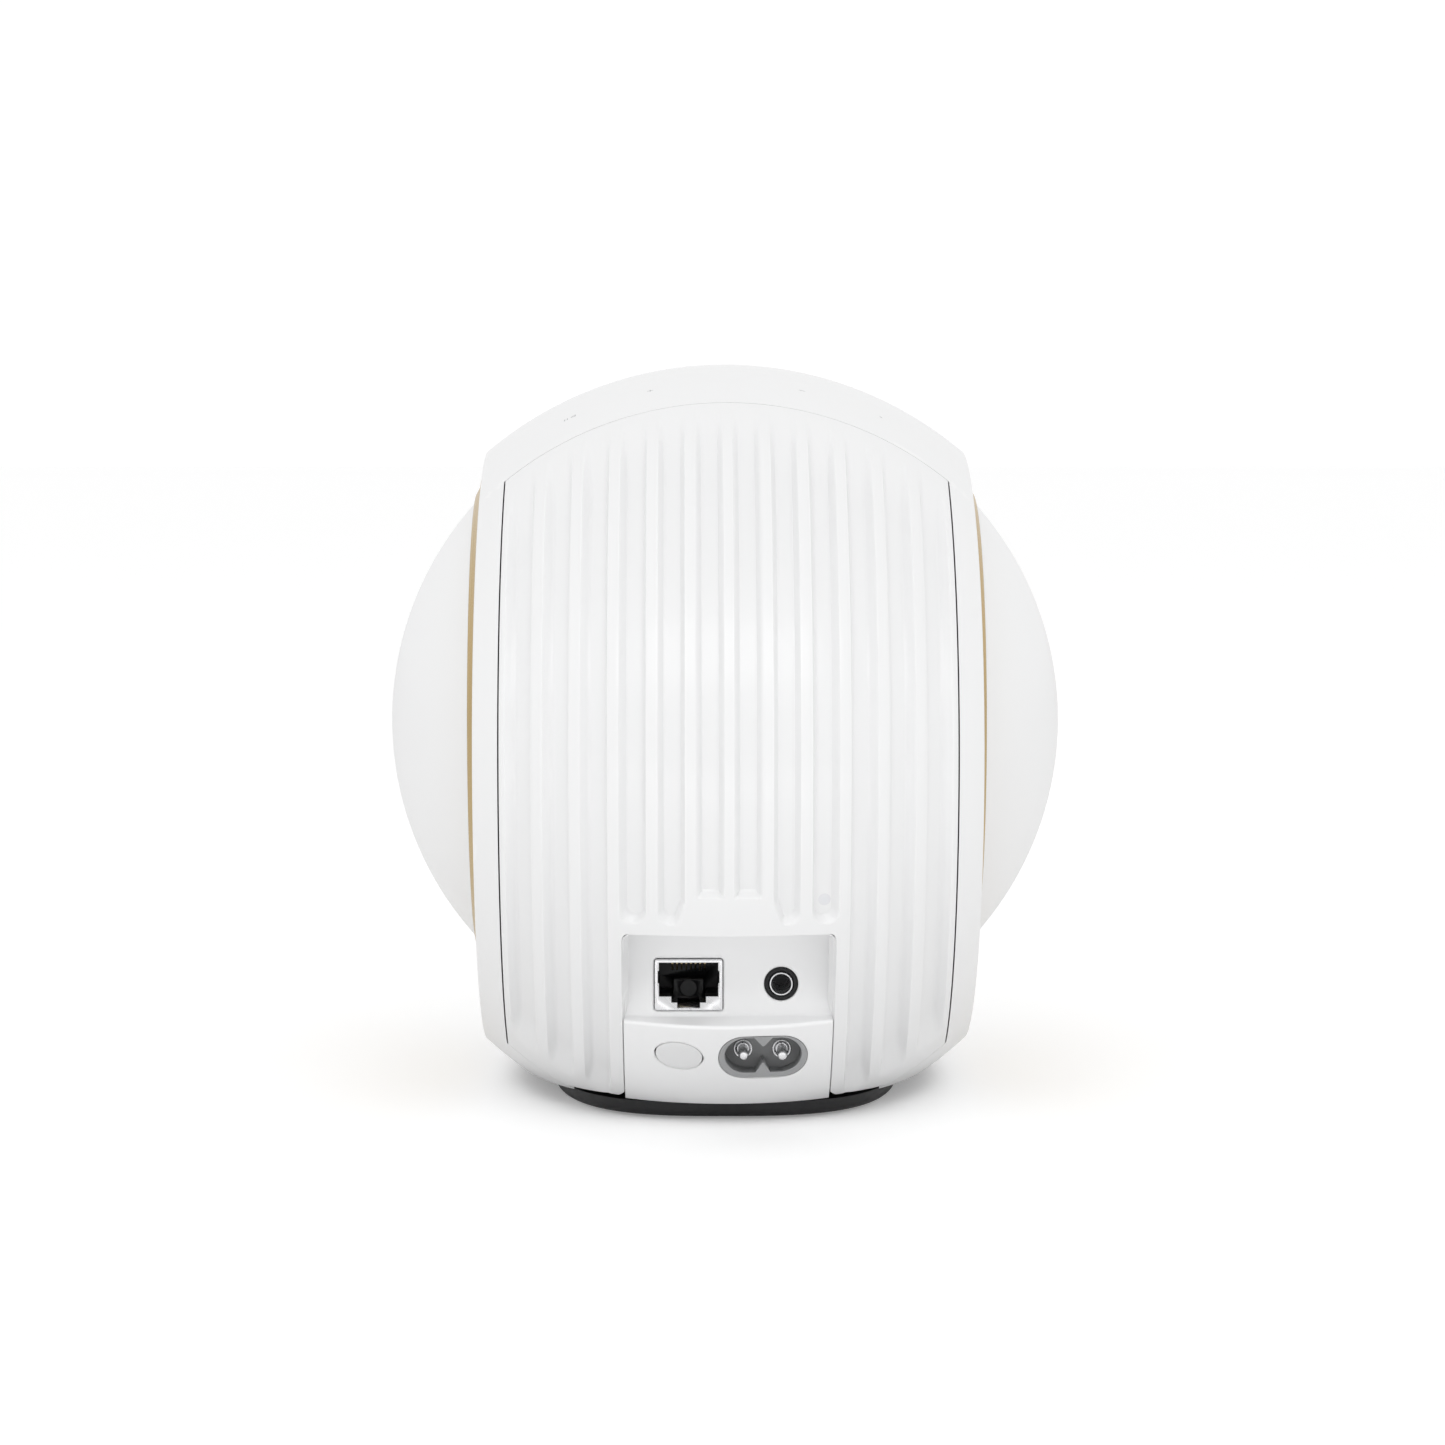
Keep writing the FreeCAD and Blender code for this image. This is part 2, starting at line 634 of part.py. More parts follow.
def woofer_dome():
    """Rigid dome with a short straight skirt."""
    inner_r = DOME_BASE_RADIUS - DOME_WALL
    outside, apex, base = arc_at(dome_centre_x, DOME_RADIUS, 0, DOME_BASE_RADIUS)
    inside, hollow, root = arc_at(dome_centre_x, DOME_RADIUS - DOME_WALL, 0, inner_r)
    skirt_x = dome_base_x - DOME_SKIRT
    low_out = Vector(skirt_x, 0, WOOFER_Z + DOME_BASE_RADIUS)
    low_in = Vector(skirt_x, 0, WOOFER_Z + inner_r)
    edges = [outside, Part.makeLine(base, low_out), Part.makeLine(low_out, low_in),
             Part.makeLine(low_in, root), inside, Part.makeLine(hollow, apex)]
    face = Part.Face(Part.Wire(Part.__sortEdges__(edges)))
    return face.revolve(WOOFER_AXIS, X_AXIS, 360)


def woofer_cone():
    """Shallow cone that drives the dome's skirt from the coil former."""
    low_r = former_outer + SEAT
    high_r = DOME_BASE_RADIUS - DOME_WALL - SEAT
    low_x = SPIDER_X + DOME_TRAVEL + 2.5
    high_x = dome_base_x - 1.3
    return woofer_turned([(low_r, low_x - CONE_THICK), (low_r, low_x),
                          (high_r, high_x), (high_r, high_x - CONE_THICK)])


def coil_former():
    """Thin tube that the coil is wound on."""
    top = SPIDER_X + DOME_TRAVEL + 3.0
    return tube(former_outer, COIL_INNER, (COIL_START_X, 0, WOOFER_Z), (top, 0, WOOFER_Z))


def coil_winding():
    """Copper winding on the former."""
    return tube(coil_outer, former_outer + SEAT / 2,
                (COIL_START_X, 0, WOOFER_Z), (COIL_START_X + COIL_LENGTH, 0, WOOFER_Z))


def pleat(build, land_in, fold_in, fold_out, land_out, high, low, thick):
    """Ring with a high inner land, one soft S-shaped fold and a low outer land."""
    upper = [(land_in, high + thick)]
    lower = [(land_in, high)]
    for i in range(FOLD_STEPS + 1):
        share = i / FOLD_STEPS
        r = fold_in + (fold_out - fold_in) * share
        level = low + (high - low) * (1 + math.cos(math.pi * share)) / 2
        upper.append((r + thick * math.sin(math.pi * share), level + thick))
        lower.append((r, level))
    upper.append((land_out, low + thick))
    lower.append((land_out, low))
    return build(lower + upper[::-1])


def woofer_surround():
    """Rubber ring between the dome's skirt and the basket's flange."""
    return pleat(woofer_turned, DOME_BASE_RADIUS - 2.2, DOME_BASE_RADIUS + 0.3, fold_outer_r,
                 land_outer_r, surround_x, flange_top_x + SEAT, SURROUND_THICK)


def woofer_spider():
    """Corrugated disc that centres the coil former."""
    inner = former_outer + 0.2
    arm_share = (SPIDER_X - BASKET_ARM_X) / (basket_arm_x - BASKET_ARM_X)
    outer = YOKE_RADIUS + (basket_inner_r - YOKE_RADIUS) * arm_share - SPIDER_FIT
    steps = SPIDER_WAVES * 8
    low = []
    high = []
    for i in range(steps + 1):
        r = inner + (outer - inner) * i / steps
        x = SPIDER_X + SPIDER_WAVE * (1 - math.cos(2 * math.pi * SPIDER_WAVES * i / steps))
        low.append((r, x))
        high.append((r, x + SPIDER_THICK))
    return woofer_turned(low + high[::-1])


def woofer_basket():
    """Cast frame from the motor to the surround's rim, with six windows."""
    inner = YOKE_RADIUS + SEAT
    arm_outer_r = barrel_radius - BARREL_WALL - 1.5
    frame = woofer_turned([
        (inner, BASKET_COLLAR_X), (inner + 4, BASKET_COLLAR_X), (inner + 4, BASKET_ARM_X - 1.5),
        (arm_outer_r, flange_low_x - 2), (arm_outer_r, flange_low_x),
        (basket_outer_r, flange_low_x), (basket_outer_r, flange_top_x), (basket_inner_r, flange_top_x),
        (basket_inner_r, basket_arm_x), (inner, BASKET_ARM_X)])
    windows = []
    for i in range(BASKET_WINDOWS):
        angle = 2 * math.pi * (i + 0.5) / BASKET_WINDOWS
        y = BASKET_WINDOW_R * math.cos(angle)
        z = WOOFER_Z + BASKET_WINDOW_R * math.sin(angle)
        windows.append(rod(BASKET_WINDOW_RADIUS, (BASKET_ARM_X - 1, y, z), (flange_low_x - 0.2, y, z)))
    return frame.cut(windows)


def woofer_motor():
    """Steel yoke cup, magnet and pole plate."""
    inner = coil_outer + AIR_GAP
    pole = COIL_INNER - AIR_GAP
    yoke = woofer_turned([(0, yoke_low_x), (YOKE_RADIUS, yoke_low_x), (YOKE_RADIUS, YOKE_TOP_X),
                          (inner, YOKE_TOP_X), (inner, yoke_low_x + YOKE_BACK), (0, yoke_low_x + YOKE_BACK)])
    plate_low = YOKE_TOP_X - POLE_PLATE_THICK
    magnet = rod(pole - MAGNET_STEP, (yoke_low_x + YOKE_BACK + SEAT, 0, WOOFER_Z),
                 (plate_low - SEAT, 0, WOOFER_Z))
    plate = rod(pole, (plate_low, 0, WOOFER_Z), (YOKE_TOP_X, 0, WOOFER_Z))
    return yoke, magnet, plate


def chassis_barrel():
    """Tube across the speaker that carries both woofers back to back, with its posts."""
    ends = [(-barrel_half, 0, WOOFER_Z), (barrel_half, 0, WOOFER_Z)]
    barrel = tube(barrel_radius, barrel_radius - BARREL_WALL, *ends)
    web = rod(barrel_radius - 1, (-WEB_HALF, 0, WOOFER_Z), (WEB_HALF, 0, WOOFER_Z))
    windows = []
    for i in range(BASKET_WINDOWS):
        angle = 2 * math.pi * i / BASKET_WINDOWS
        y = WEB_WINDOW_R * math.cos(angle)
        z = WOOFER_Z + WEB_WINDOW_R * math.sin(angle)
        windows.append(rod(WEB_WINDOW_RADIUS, (-2 * WEB_HALF, y, z), (2 * WEB_HALF, y, z)))
    web = web.cut(windows)
    posts = []
    for sx in (-1, 1):
        for sy in (-1, 1):
            posts.append(rod(PILLAR_RADIUS, (sx * PILLAR_X, sy * PILLAR_Y, foot_plate_top + SEAT),
                             (sx * PILLAR_X, sy * PILLAR_Y, WOOFER_Z)))
            posts.append(rod(STANDOFF_RADIUS, (sx * control_post_x, sy * control_post_y, WOOFER_Z),
                             (sx * control_post_x, sy * control_post_y, control_board_z - SEAT)))
            posts.append(rod(STANDOFF_RADIUS, (sx * AMP_POST_X, 0, WOOFER_Z + sy * AMP_POST_Z),
                             (sx * AMP_POST_X, amp_board_y - SEAT, WOOFER_Z + sy * AMP_POST_Z)))
    bore = rod(barrel_radius - BARREL_WALL / 2, (-FAR, 0, WOOFER_Z), (FAR, 0, WOOFER_Z))
    posts = group(posts).cut(bore)
    body = barrel.fuse([web] + posts.Solids)
    return body.cut([hole for screw in screw_places() for hole in screw_hole(*screw)])


def screw_places():
    """Head seat, direction the head faces, of every small screw."""
    places = []
    for sx in (-1, 1):
        for sy in (-1, 1):
            places.append((Vector(sx * PILLAR_X, sy * PILLAR_Y, PAD_THICK + SCREW_HEAD + 0.4), -Z_AXIS))
            control_top = control_board_z + BOARD + SEAT / 2
            places.append((Vector(sx * control_post_x, sy * control_post_y, control_top), Z_AXIS))
            amp_face = amp_board_y + BOARD + SEAT / 2
            places.append((Vector(sx * AMP_POST_X, amp_face, WOOFER_Z + sy * AMP_POST_Z), Y_AXIS))
    return places


def screw_hole(seat, out):
    """Clearance for one screw's shank and head."""
    return [rod(SCREW_RADIUS + SCREW_FIT, seat + out, seat - out * (SCREW_LENGTH + 0.6))]


def screw(seat, out):
    """Pan-head screw."""
    body = rod(SCREW_RADIUS, seat, seat - out * SCREW_LENGTH)
    head = rod(SCREW_HEAD_RADIUS, seat, seat + out * SCREW_HEAD)
    return body.fuse(head)


def screws_facing(direction):
    """Screws whose heads face one way, as one group."""
    return group([screw(*place) for place in screw_places() if place[1] == direction])


def foot_outline(inset, z):
    """Closed curve of the foot at one height: an oval with fuller corners than an ellipse."""
    half_x = form_x(0, BASE_CUT_Z) - FOOT_SIDE_TUCK - inset
    half_y = form_y(0, BASE_CUT_Z) - FOOT_END_TUCK - inset
    points = []
    for i in range(FOOT_POINTS):
        angle = 2 * math.pi * i / FOOT_POINTS
        across = math.cos(angle)
        along = math.sin(angle)
        share = abs(across / half_x) ** FOOT_FULLNESS + abs(along / half_y) ** FOOT_FULLNESS
        reach = share ** (-1 / FOOT_FULLNESS)
        points.append(Vector(reach * across, reach * along, z))
    curve = Part.BSplineCurve()
    curve.interpolate(points, PeriodicFlag=True)
    return Part.Wire(curve.toShape())


def oval_block(half, low, high):
    """Upright block with an elliptical section in the proportion of the outer form."""
    length = half * HALF_DEPTH / HALF_WIDTH
    edge = Part.Ellipse(Vector(0, length, low), Vector(half, 0, low), Vector(0, 0, low)).toShape()
    return Part.Face(Part.Wire(edge)).extrude(Vector(0, 0, high - low))


def foot_base():
    """Foot: a plate inside the shell's mouth, a neck, and a skirt with a rounded lower edge."""
    plate = form(SHELL_WALL + SEAM).common(box((-FAR, -FAR, foot_plate_low), (FAR, FAR, foot_plate_top)))
    neck = oval_block(foot_seat_half - FOOT_NECK_INSET, PAD_PROUD + PAD_THICK, foot_plate_low + 1)
    rise = foot_top - PAD_PROUD
    levels = ((2.2, 0.0), (1.2, 0.07), (0.45, 0.25), (0.1, 0.55), (0.0, 1.0))
    skirt = Part.makeLoft([foot_outline(inset, PAD_PROUD + rise * share) for inset, share in levels], True)
    foot = plate.fuse([neck, skirt]).cut(foot_pad_block(SEAT))
    posts = [rod(STANDOFF_RADIUS, (sx * (POWER_HALF_X - 4), y, foot_plate_top - 0.5),
                 (sx * (POWER_HALF_X - 4), y, foot_plate_top + POWER_BOARD_RISE - SEAT))
             for sx in (-1, 1) for y in (POWER_Y[0] + 4, POWER_Y[1] - 6)]
    foot = foot.fuse(posts)
    holes = []
    for seat, out in screw_places():
        if out == -Z_AXIS:
            holes += screw_hole(seat, out)
            holes.append(rod(SCREW_HEAD_RADIUS + 0.3, seat + out * (SCREW_HEAD + 5), seat - out * SEAT))
    return foot.cut(holes)


def foot_pad_block(margin):
    """Oval rubber pad under the foot."""
    return oval_block(foot_seat_half - PAD_INSET + margin, 0, PAD_THICK + margin)


def power_board():
    """Mains supply board on the foot's posts."""
    low = foot_plate_top + POWER_BOARD_RISE
    return box((-POWER_HALF_X, POWER_Y[0], low), (POWER_HALF_X, POWER_Y[1], low + BOARD))


def power_components():
    """Transformer and three capacitors on the supply board."""
    low = foot_plate_top + POWER_BOARD_RISE + BOARD + SEAT
    parts = [box(TRANSFORMER_LOW + (low,), TRANSFORMER_HIGH + (low + TRANSFORMER_HEIGHT,))]
    for x, y in CAPACITOR_PLACES:
        parts.append(rod(CAPACITOR_RADIUS, (x, y, low), (x, y, low + CAPACITOR_HEIGHT)))
    return group(parts)


def amplifier_board():
    """Upright board behind the cover, screwed to the barrel's posts."""
    board = box((-AMP_HALF_X, amp_board_y, WOOFER_Z - AMP_HALF_Z),
                (AMP_HALF_X, amp_board_y + BOARD, WOOFER_Z + AMP_HALF_Z))
    holes = [hole for place in screw_places() if place[1] == Y_AXIS for hole in screw_hole(*place)]
    return board.cut(holes)


def amplifier_chips():
    """Amplifier and processor chips."""
    low = amp_board_y + BOARD + SEAT
    chips = []
    for x, z, width, height in CHIP_SPOTS:
        chips.append(box((x, low, WOOFER_Z + z), (x + width, low + CHIP, WOOFER_Z + z + height)))
    return group(chips)


def heat_spreader():
    """Metal block that carries the amplifier's heat to the cover."""
    low = amp_board_y + BOARD + CHIP + 2 * SEAT
    block = box((-SPREADER_HALF_X, low, WOOFER_Z + SPREADER_RISE[0]),
                (SPREADER_HALF_X, FAR, WOOFER_Z + SPREADER_RISE[1]))
    return block.common(form(COVER_WALL + SEAT))


def control_board():
    """Level board above the barrel."""
    board = box((-CONTROL_HALF_X, -CONTROL_HALF_Y, control_board_z),
                (CONTROL_HALF_X, CONTROL_HALF_Y, control_board_z + BOARD))
    holes = [hole for place in screw_places() if place[1] == Z_AXIS for hole in screw_hole(*place)]
    return board.cut(holes)


def antenna_board():
    """Upright aerial strip on the control board."""
    low = control_board_z + BOARD + SEAT
    half = ANTENNA_WIDTH / 2
    return box((-half, -CONTROL_HALF_Y + 1, low), (half, -CONTROL_HALF_Y + 2, low + ANTENNA_HEIGHT))


def touch_sensor():
    """Flexible touch film glued under the top of the shell."""
    strip = box((-TOUCH_HALF_X, TOUCH_Y[0], AXIS_Z), (TOUCH_HALF_X, TOUCH_Y[1], FAR))
    return form(SHELL_WALL + SEAT).common(strip).cut(form(SHELL_WALL + SEAT + TOUCH_THICK))


def io_board():
    """Upright board that the network and audio sockets are soldered to."""
    high = net_back_y - SEAT
    return box((IO_BOARD_X[0], high - BOARD, IO_BOARD_Z[0]), (IO_BOARD_X[1], high, IO_BOARD_Z[1]))


def front_grille():
    """Perforated metal disc that follows the outer form."""
    disc = rod(GRILLE_RADIUS, (0, 0, WOOFER_Z), (0, -FAR, WOOFER_Z)).common(form()).cut(form(GRILLE_THICK))
    holes = []
    rows = int(GRILLE_RADIUS / GRILLE_HOLE_PITCH) + 2
    for i in range(-rows, rows + 1):
        for j in range(-rows, rows + 1):
            x = GRILLE_HOLE_PITCH * (i + j / 2)
            z = GRILLE_HOLE_PITCH * j * math.sqrt(3) / 2
            if GRILLE_HOLE_RADIUS < math.hypot(x, z) < GRILLE_RADIUS - 2 * GRILLE_HOLE_RADIUS:
                holes.append(rod(GRILLE_HOLE_RADIUS, (x, 0, WOOFER_Z + z), (x, -FAR, WOOFER_Z + z)))
    return disc.cut(holes)


def front_trim_ring():
    """Metal ring round the grille."""
    ring = tube(trim_outer_r, GRILLE_RADIUS + SEAT, (0, 0, WOOFER_Z), (0, -FAR, WOOFER_Z))
    return ring.common(form()).cut(form(SHELL_WALL + 1))


def front_driver():
    """Small full-range driver: cone, coil, surround, basket, magnet."""
    face = driver_face
    cone_r = DRIVER_CONE_RADIUS
    flange_in = cone_r + DRIVER_FOLD
    coil_r = DRIVER_COIL_RADIUS
    deep = face - DRIVER_CONE_DEPTH
    cap = deep + DRIVER_CAP_RISE
    cap_r = coil_r * 0.6
    cone = driver_turned([(0, cap), (cap_r, cap - 0.6), (coil_r + 0.5, deep), (cone_r, face + 0.2),
                          (cone_r, face - 0.4), (coil_r + 0.5, deep - 0.7), (cap_r, cap - 1.2), (0, cap - 0.6)])
    coil_high = deep - 0.8
    coil_low = coil_high - DRIVER_COIL_LENGTH
    coil = driver_turned([(coil_r - 0.5, coil_low), (coil_r + 0.4, coil_low),
                          (coil_r + 0.4, coil_high), (coil_r - 0.5, coil_high)])
    seat_level = face - DRIVER_DROP
    surround = pleat(driver_turned, cone_r - 1.6, cone_r + 0.4, cone_r + DRIVER_FOLD, flange_in + 1.7,
                     face + 0.3, seat_level + SEAT, 0.5)
    magnet_top = deep - DRIVER_TRAVEL - 2.7
    magnet_low = magnet_top - DRIVER_MAGNET_THICK
    arm = DRIVER_MAGNET_RADIUS + SEAT
    basket = driver_turned([(arm, magnet_low + 3), (arm + 2, magnet_low + 3), (arm + 2, magnet_top - 1),
                            (flange_in + 1.5, driver_flange_low), (collar_outer_r, driver_flange_low),
                            (collar_outer_r, face - SEAT), (flange_in + 1.9, face - SEAT),
                            (flange_in + 1.9, seat_level), (flange_in, seat_level),
                            (flange_in, seat_level - 1.0), (arm, magnet_top)])
    windows = []
    for angle in (45, 135, 225, 315):
        x = DRIVER_WINDOW_R * math.cos(math.radians(angle))
        z = WOOFER_Z + DRIVER_WINDOW_R * math.sin(math.radians(angle))
        windows.append(rod(DRIVER_WINDOW_RADIUS, (x, 2 - magnet_top, z),
                           (x, -driver_flange_low - 1.2, z)))
    gap_in = coil_r - 0.5 - AIR_GAP
    gap_out = coil_r + 0.4 + AIR_GAP
    magnet = driver_turned([(0, magnet_low), (DRIVER_MAGNET_RADIUS, magnet_low),
                            (DRIVER_MAGNET_RADIUS, magnet_top), (gap_out, magnet_top),
                            (gap_out, magnet_low + 2.2), (gap_in, magnet_low + 2.2),
                            (gap_in, magnet_top), (0, magnet_top)])
    return cone, coil, surround, basket, magnet


def main():
    """Build every node."""
    os.makedirs("parts", exist_ok=True)
    save("main_shell", main_shell())
    save("rear_heatsink_cover", rear_heatsink_cover())
    save("status_light_window", status_light_window())
    save("io_panel", io_panel())
    save("io_board", io_board())
    shield, insert, contacts = net_socket()
    save("network_socket_shield", shield)
    save("network_socket_insert", insert)
    save("network_socket_contacts", contacts)
    body, bush = jack()
    save("audio_socket_body", body)
    save("audio_socket_bushing", bush)
    moulding, pins = inlet()
    save("mains_inlet_body", moulding)
    save("mains_inlet_pins", pins)
    save("pairing_button", pairing_button())
    save("button_switch", button_switch())
    save("button_board", button_board())
    yoke, magnet, plate = woofer_motor()
    woofer = {"flank_panel": flank_panel(), "woofer_dome": woofer_dome(), "woofer_cone": woofer_cone(),
              "woofer_former": coil_former(), "woofer_coil": coil_winding(),
              "woofer_surround": woofer_surround(), "woofer_spider": woofer_spider(),
              "woofer_basket": woofer_basket(), "woofer_yoke": yoke,
              "woofer_magnet": magnet, "woofer_pole_plate": plate}
    for name, shape in woofer.items():
        save("right_" + name, shape)
        save("left_" + name, mirrored(shape))
    save("chassis_barrel", chassis_barrel())
    save("control_board_screws", screws_facing(Z_AXIS))
    save("amplifier_board_screws", screws_facing(Y_AXIS))
    save("foot_screws", screws_facing(-Z_AXIS))
    save("foot_base", foot_base())
    save("foot_pad", foot_pad_block(0))
    save("power_board", power_board())
    save("power_components", power_components())
    save("amplifier_board", amplifier_board())
    save("amplifier_chips", amplifier_chips())
    save("heat_spreader", heat_spreader())
    save("control_board", control_board())
    save("antenna_board", antenna_board())
    save("touch_sensor", touch_sensor())
    save("front_grille", front_grille())
    save("front_trim_ring", front_trim_ring())
    for name, shape in zip(("cone", "coil", "surround", "basket", "magnet"), front_driver()):
        save("front_driver_" + name, shape)


main()
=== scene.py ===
import math

import bmesh
import bpy
import numpy as np
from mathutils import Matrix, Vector


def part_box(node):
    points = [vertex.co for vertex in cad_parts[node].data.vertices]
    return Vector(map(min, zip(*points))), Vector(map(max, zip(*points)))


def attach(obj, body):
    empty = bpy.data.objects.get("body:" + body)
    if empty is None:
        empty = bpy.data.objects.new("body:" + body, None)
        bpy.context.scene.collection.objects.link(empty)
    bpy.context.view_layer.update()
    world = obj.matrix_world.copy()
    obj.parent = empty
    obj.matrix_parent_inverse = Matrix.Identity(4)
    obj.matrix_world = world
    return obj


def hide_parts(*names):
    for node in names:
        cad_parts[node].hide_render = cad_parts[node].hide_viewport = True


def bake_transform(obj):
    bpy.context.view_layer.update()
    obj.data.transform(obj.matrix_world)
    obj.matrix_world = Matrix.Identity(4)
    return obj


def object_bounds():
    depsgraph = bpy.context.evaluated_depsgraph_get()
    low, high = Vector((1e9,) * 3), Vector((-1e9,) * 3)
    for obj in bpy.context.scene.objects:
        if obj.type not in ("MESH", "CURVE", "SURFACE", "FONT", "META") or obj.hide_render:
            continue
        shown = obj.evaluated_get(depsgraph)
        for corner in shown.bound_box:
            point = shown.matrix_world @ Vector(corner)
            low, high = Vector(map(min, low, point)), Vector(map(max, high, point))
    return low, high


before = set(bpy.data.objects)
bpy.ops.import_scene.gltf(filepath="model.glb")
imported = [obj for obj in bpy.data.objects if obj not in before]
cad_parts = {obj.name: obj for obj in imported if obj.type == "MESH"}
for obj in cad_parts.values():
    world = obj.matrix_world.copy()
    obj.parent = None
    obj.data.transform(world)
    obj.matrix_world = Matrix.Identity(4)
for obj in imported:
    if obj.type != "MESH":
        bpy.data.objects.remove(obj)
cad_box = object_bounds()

# Floor, light and camera.
# The speaker stands on a pale flat floor under four soft lights, seen from behind and
# slightly above. The camera is far enough away that the sides stay nearly parallel.
mm = 0.001
look_at = Vector((0.0, 0.0, 0.0845))
camera_distance = 1.05
camera_rise = math.radians(6.0)
camera_turn = math.radians(0.5)
camera_lens = 110.65
camera_shift = (-0.00173, -0.00242)
floor_size = 6.0
floor_tone = 0.86
floor_lift = {"To Min": 0.05, "To Max": 0.24}
sky_fade_ends = {"From Min": -0.2, "From Max": 0.9, "To Min": 0.93, "To Max": 0.7}
backdrop_white = 1.02
bpy.context.scene.view_settings.view_transform = "Standard"


def new_material(name):
    """Empty node material with its Principled shader."""
    material = bpy.data.materials.new(name)
    material.use_nodes = True
    nodes = material.node_tree.nodes
    nodes.clear()
    out = nodes.new("ShaderNodeOutputMaterial")
    shader = nodes.new("ShaderNodeBsdfPrincipled")
    material.node_tree.links.new(shader.outputs["BSDF"], out.inputs["Surface"])
    return material, material.node_tree, shader


floor_material, floor_tree, floor_shader = new_material("studio_floor")
floor_shader.inputs["Base Color"].default_value = (floor_tone, floor_tone, floor_tone, 1)
floor_shader.inputs["Roughness"].default_value = 0.75
floor_shader.inputs["Specular IOR Level"].default_value = 0.1
floor_shader.inputs["Emission Color"].default_value = (1, 1, 1, 1)
ray_kind = floor_tree.nodes.new("ShaderNodeLightPath")
floor_glow = floor_tree.nodes.new("ShaderNodeMapRange")
for end, value in floor_lift.items():
    floor_glow.inputs[end].default_value = value
floor_tree.links.new(ray_kind.outputs["Is Camera Ray"], floor_glow.inputs["Value"])
floor_tree.links.new(floor_glow.outputs[0], floor_shader.inputs["Emission Strength"])
bpy.ops.mesh.primitive_plane_add(size=floor_size)
floor = bpy.context.object
floor.name = "floor"
floor.data.materials.append(floor_material)

world = bpy.data.worlds.new("studio")
world.use_nodes = True
sky = world.node_tree
sky_place = sky.nodes.new("ShaderNodeTexCoord")
sky_parts = sky.nodes.new("ShaderNodeSeparateXYZ")
sky_fade = sky.nodes.new("ShaderNodeMapRange")
for end, value in sky_fade_ends.items():
    sky_fade.inputs[end].default_value = value
sky.links.new(sky_place.outputs["Generated"], sky_parts.inputs[0])
sky.links.new(sky_parts.outputs["Y"], sky_fade.inputs["Value"])
sky.nodes["Background"].inputs["Color"].default_value = (1, 1, 1, 1)
sky_ray = sky.nodes.new("ShaderNodeLightPath")
sky_white = sky.nodes.new("ShaderNodeMath")
sky_white.operation = "MULTIPLY"
sky_white.inputs[1].default_value = backdrop_white
sky_level = sky.nodes.new("ShaderNodeMath")
sky_level.operation = "MAXIMUM"
sky.links.new(sky_ray.outputs["Is Camera Ray"], sky_white.inputs[0])
sky.links.new(sky_white.outputs[0], sky_level.inputs[0])
sky.links.new(sky_fade.outputs["Result"], sky_level.inputs[1])
sky.links.new(sky_level.outputs[0], sky.nodes["Background"].inputs["Strength"])
bpy.context.scene.world = world


def soft_light(name, place, size, power):
    """Rectangular area light aimed at the speaker."""
    data = bpy.data.lights.new(name, "AREA")
    data.shape = "RECTANGLE"
    data.size, data.size_y = size
    data.energy = power
    lamp = bpy.data.objects.new(name, data)
    lamp.location = place
    lamp.rotation_euler = (look_at - Vector(place)).to_track_quat("-Z", "Y").to_euler()
    bpy.context.collection.objects.link(lamp)


soft_light("over", (0.0, 1.0, 0.95), (1.6, 0.5), 4.2)
soft_light("left_side", (1.3, 0.5, 0.6), (0.3, 1.1), 0.35)
soft_light("right_side", (-1.3, 0.5, 0.6), (0.3, 1.1), 0.35)
soft_light("low_rear", (0.0, 0.5, 0.03), (0.7, 0.1), 0.2)

camera_data = bpy.data.cameras.new("camera")
camera_data.lens = camera_lens
camera_data.sensor_width = 36.0
camera_data.shift_x, camera_data.shift_y = camera_shift
camera = bpy.data.objects.new("camera", camera_data)
away = Vector((math.sin(camera_turn) * math.cos(camera_rise),
               math.cos(camera_turn) * math.cos(camera_rise),
               math.sin(camera_rise)))
camera.location = look_at + away * camera_distance
camera.rotation_euler = (-away).to_track_quat("-Z", "Y").to_euler()
bpy.context.collection.objects.link(camera)
bpy.context.scene.camera = camera

# Outer form.
# Shell and cover are two pieces of one ellipsoid, fuller below its widest level than above
# it. Its rear and upper reaches and the flat of the flanks come from the pieces' boxes; its
# middle level, its lower reach and its width are given.
dome_low, dome_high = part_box("right_woofer_dome")
shell_low, shell_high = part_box("main_shell")
half_depth = cad_box[1][1]
half_width = 86.5 * mm
axis_z = 81.5 * mm
rise = shell_high[2] - axis_z
drop = 94.0 * mm
flank_x = shell_high[0]
mouth_z = shell_low[2]
woofer_z = (dome_low[2] + dome_high[2]) / 2


def form_point(x, angle, inset=0.0):
    """Point of the outer form in the section at x. Angle 0 is the rear, 90 degrees the top."""
    share = math.sqrt(max(0.0, 1 - (x / (half_width - inset)) ** 2))
    reach = (rise if math.sin(angle) > 0 else drop) - inset
    return (x, (half_depth - inset) * share * math.cos(angle), axis_z + reach * share * math.sin(angle))


def form_normal(x, y, z):
    """Outward direction of the outer form at a point on it."""
    reach = rise if z > axis_z else drop
    out = np.array((x / half_width ** 2, y / half_depth ** 2, (z - axis_z) / reach ** 2))
    return out / np.linalg.norm(out)


def angle_at_y(x, y, top):
    """Angle where the section at x passes depth y, on its top or its underside."""
    share = math.sqrt(1 - (x / half_width) ** 2)
    turn = math.acos(max(-1.0, min(1.0, y / (half_depth * share))))
    return turn if top else -turn


def angle_at_z(x, z, rear=True):
    """Angle where the section at x passes height z, on its rear or its front."""
    share = math.sqrt(1 - (x / half_width) ** 2)
    reach = rise if z > axis_z else drop
    turn = math.asin(max(-1.0, min(1.0, (z - axis_z) / (reach * share))))
    return turn if rear else -math.pi - turn


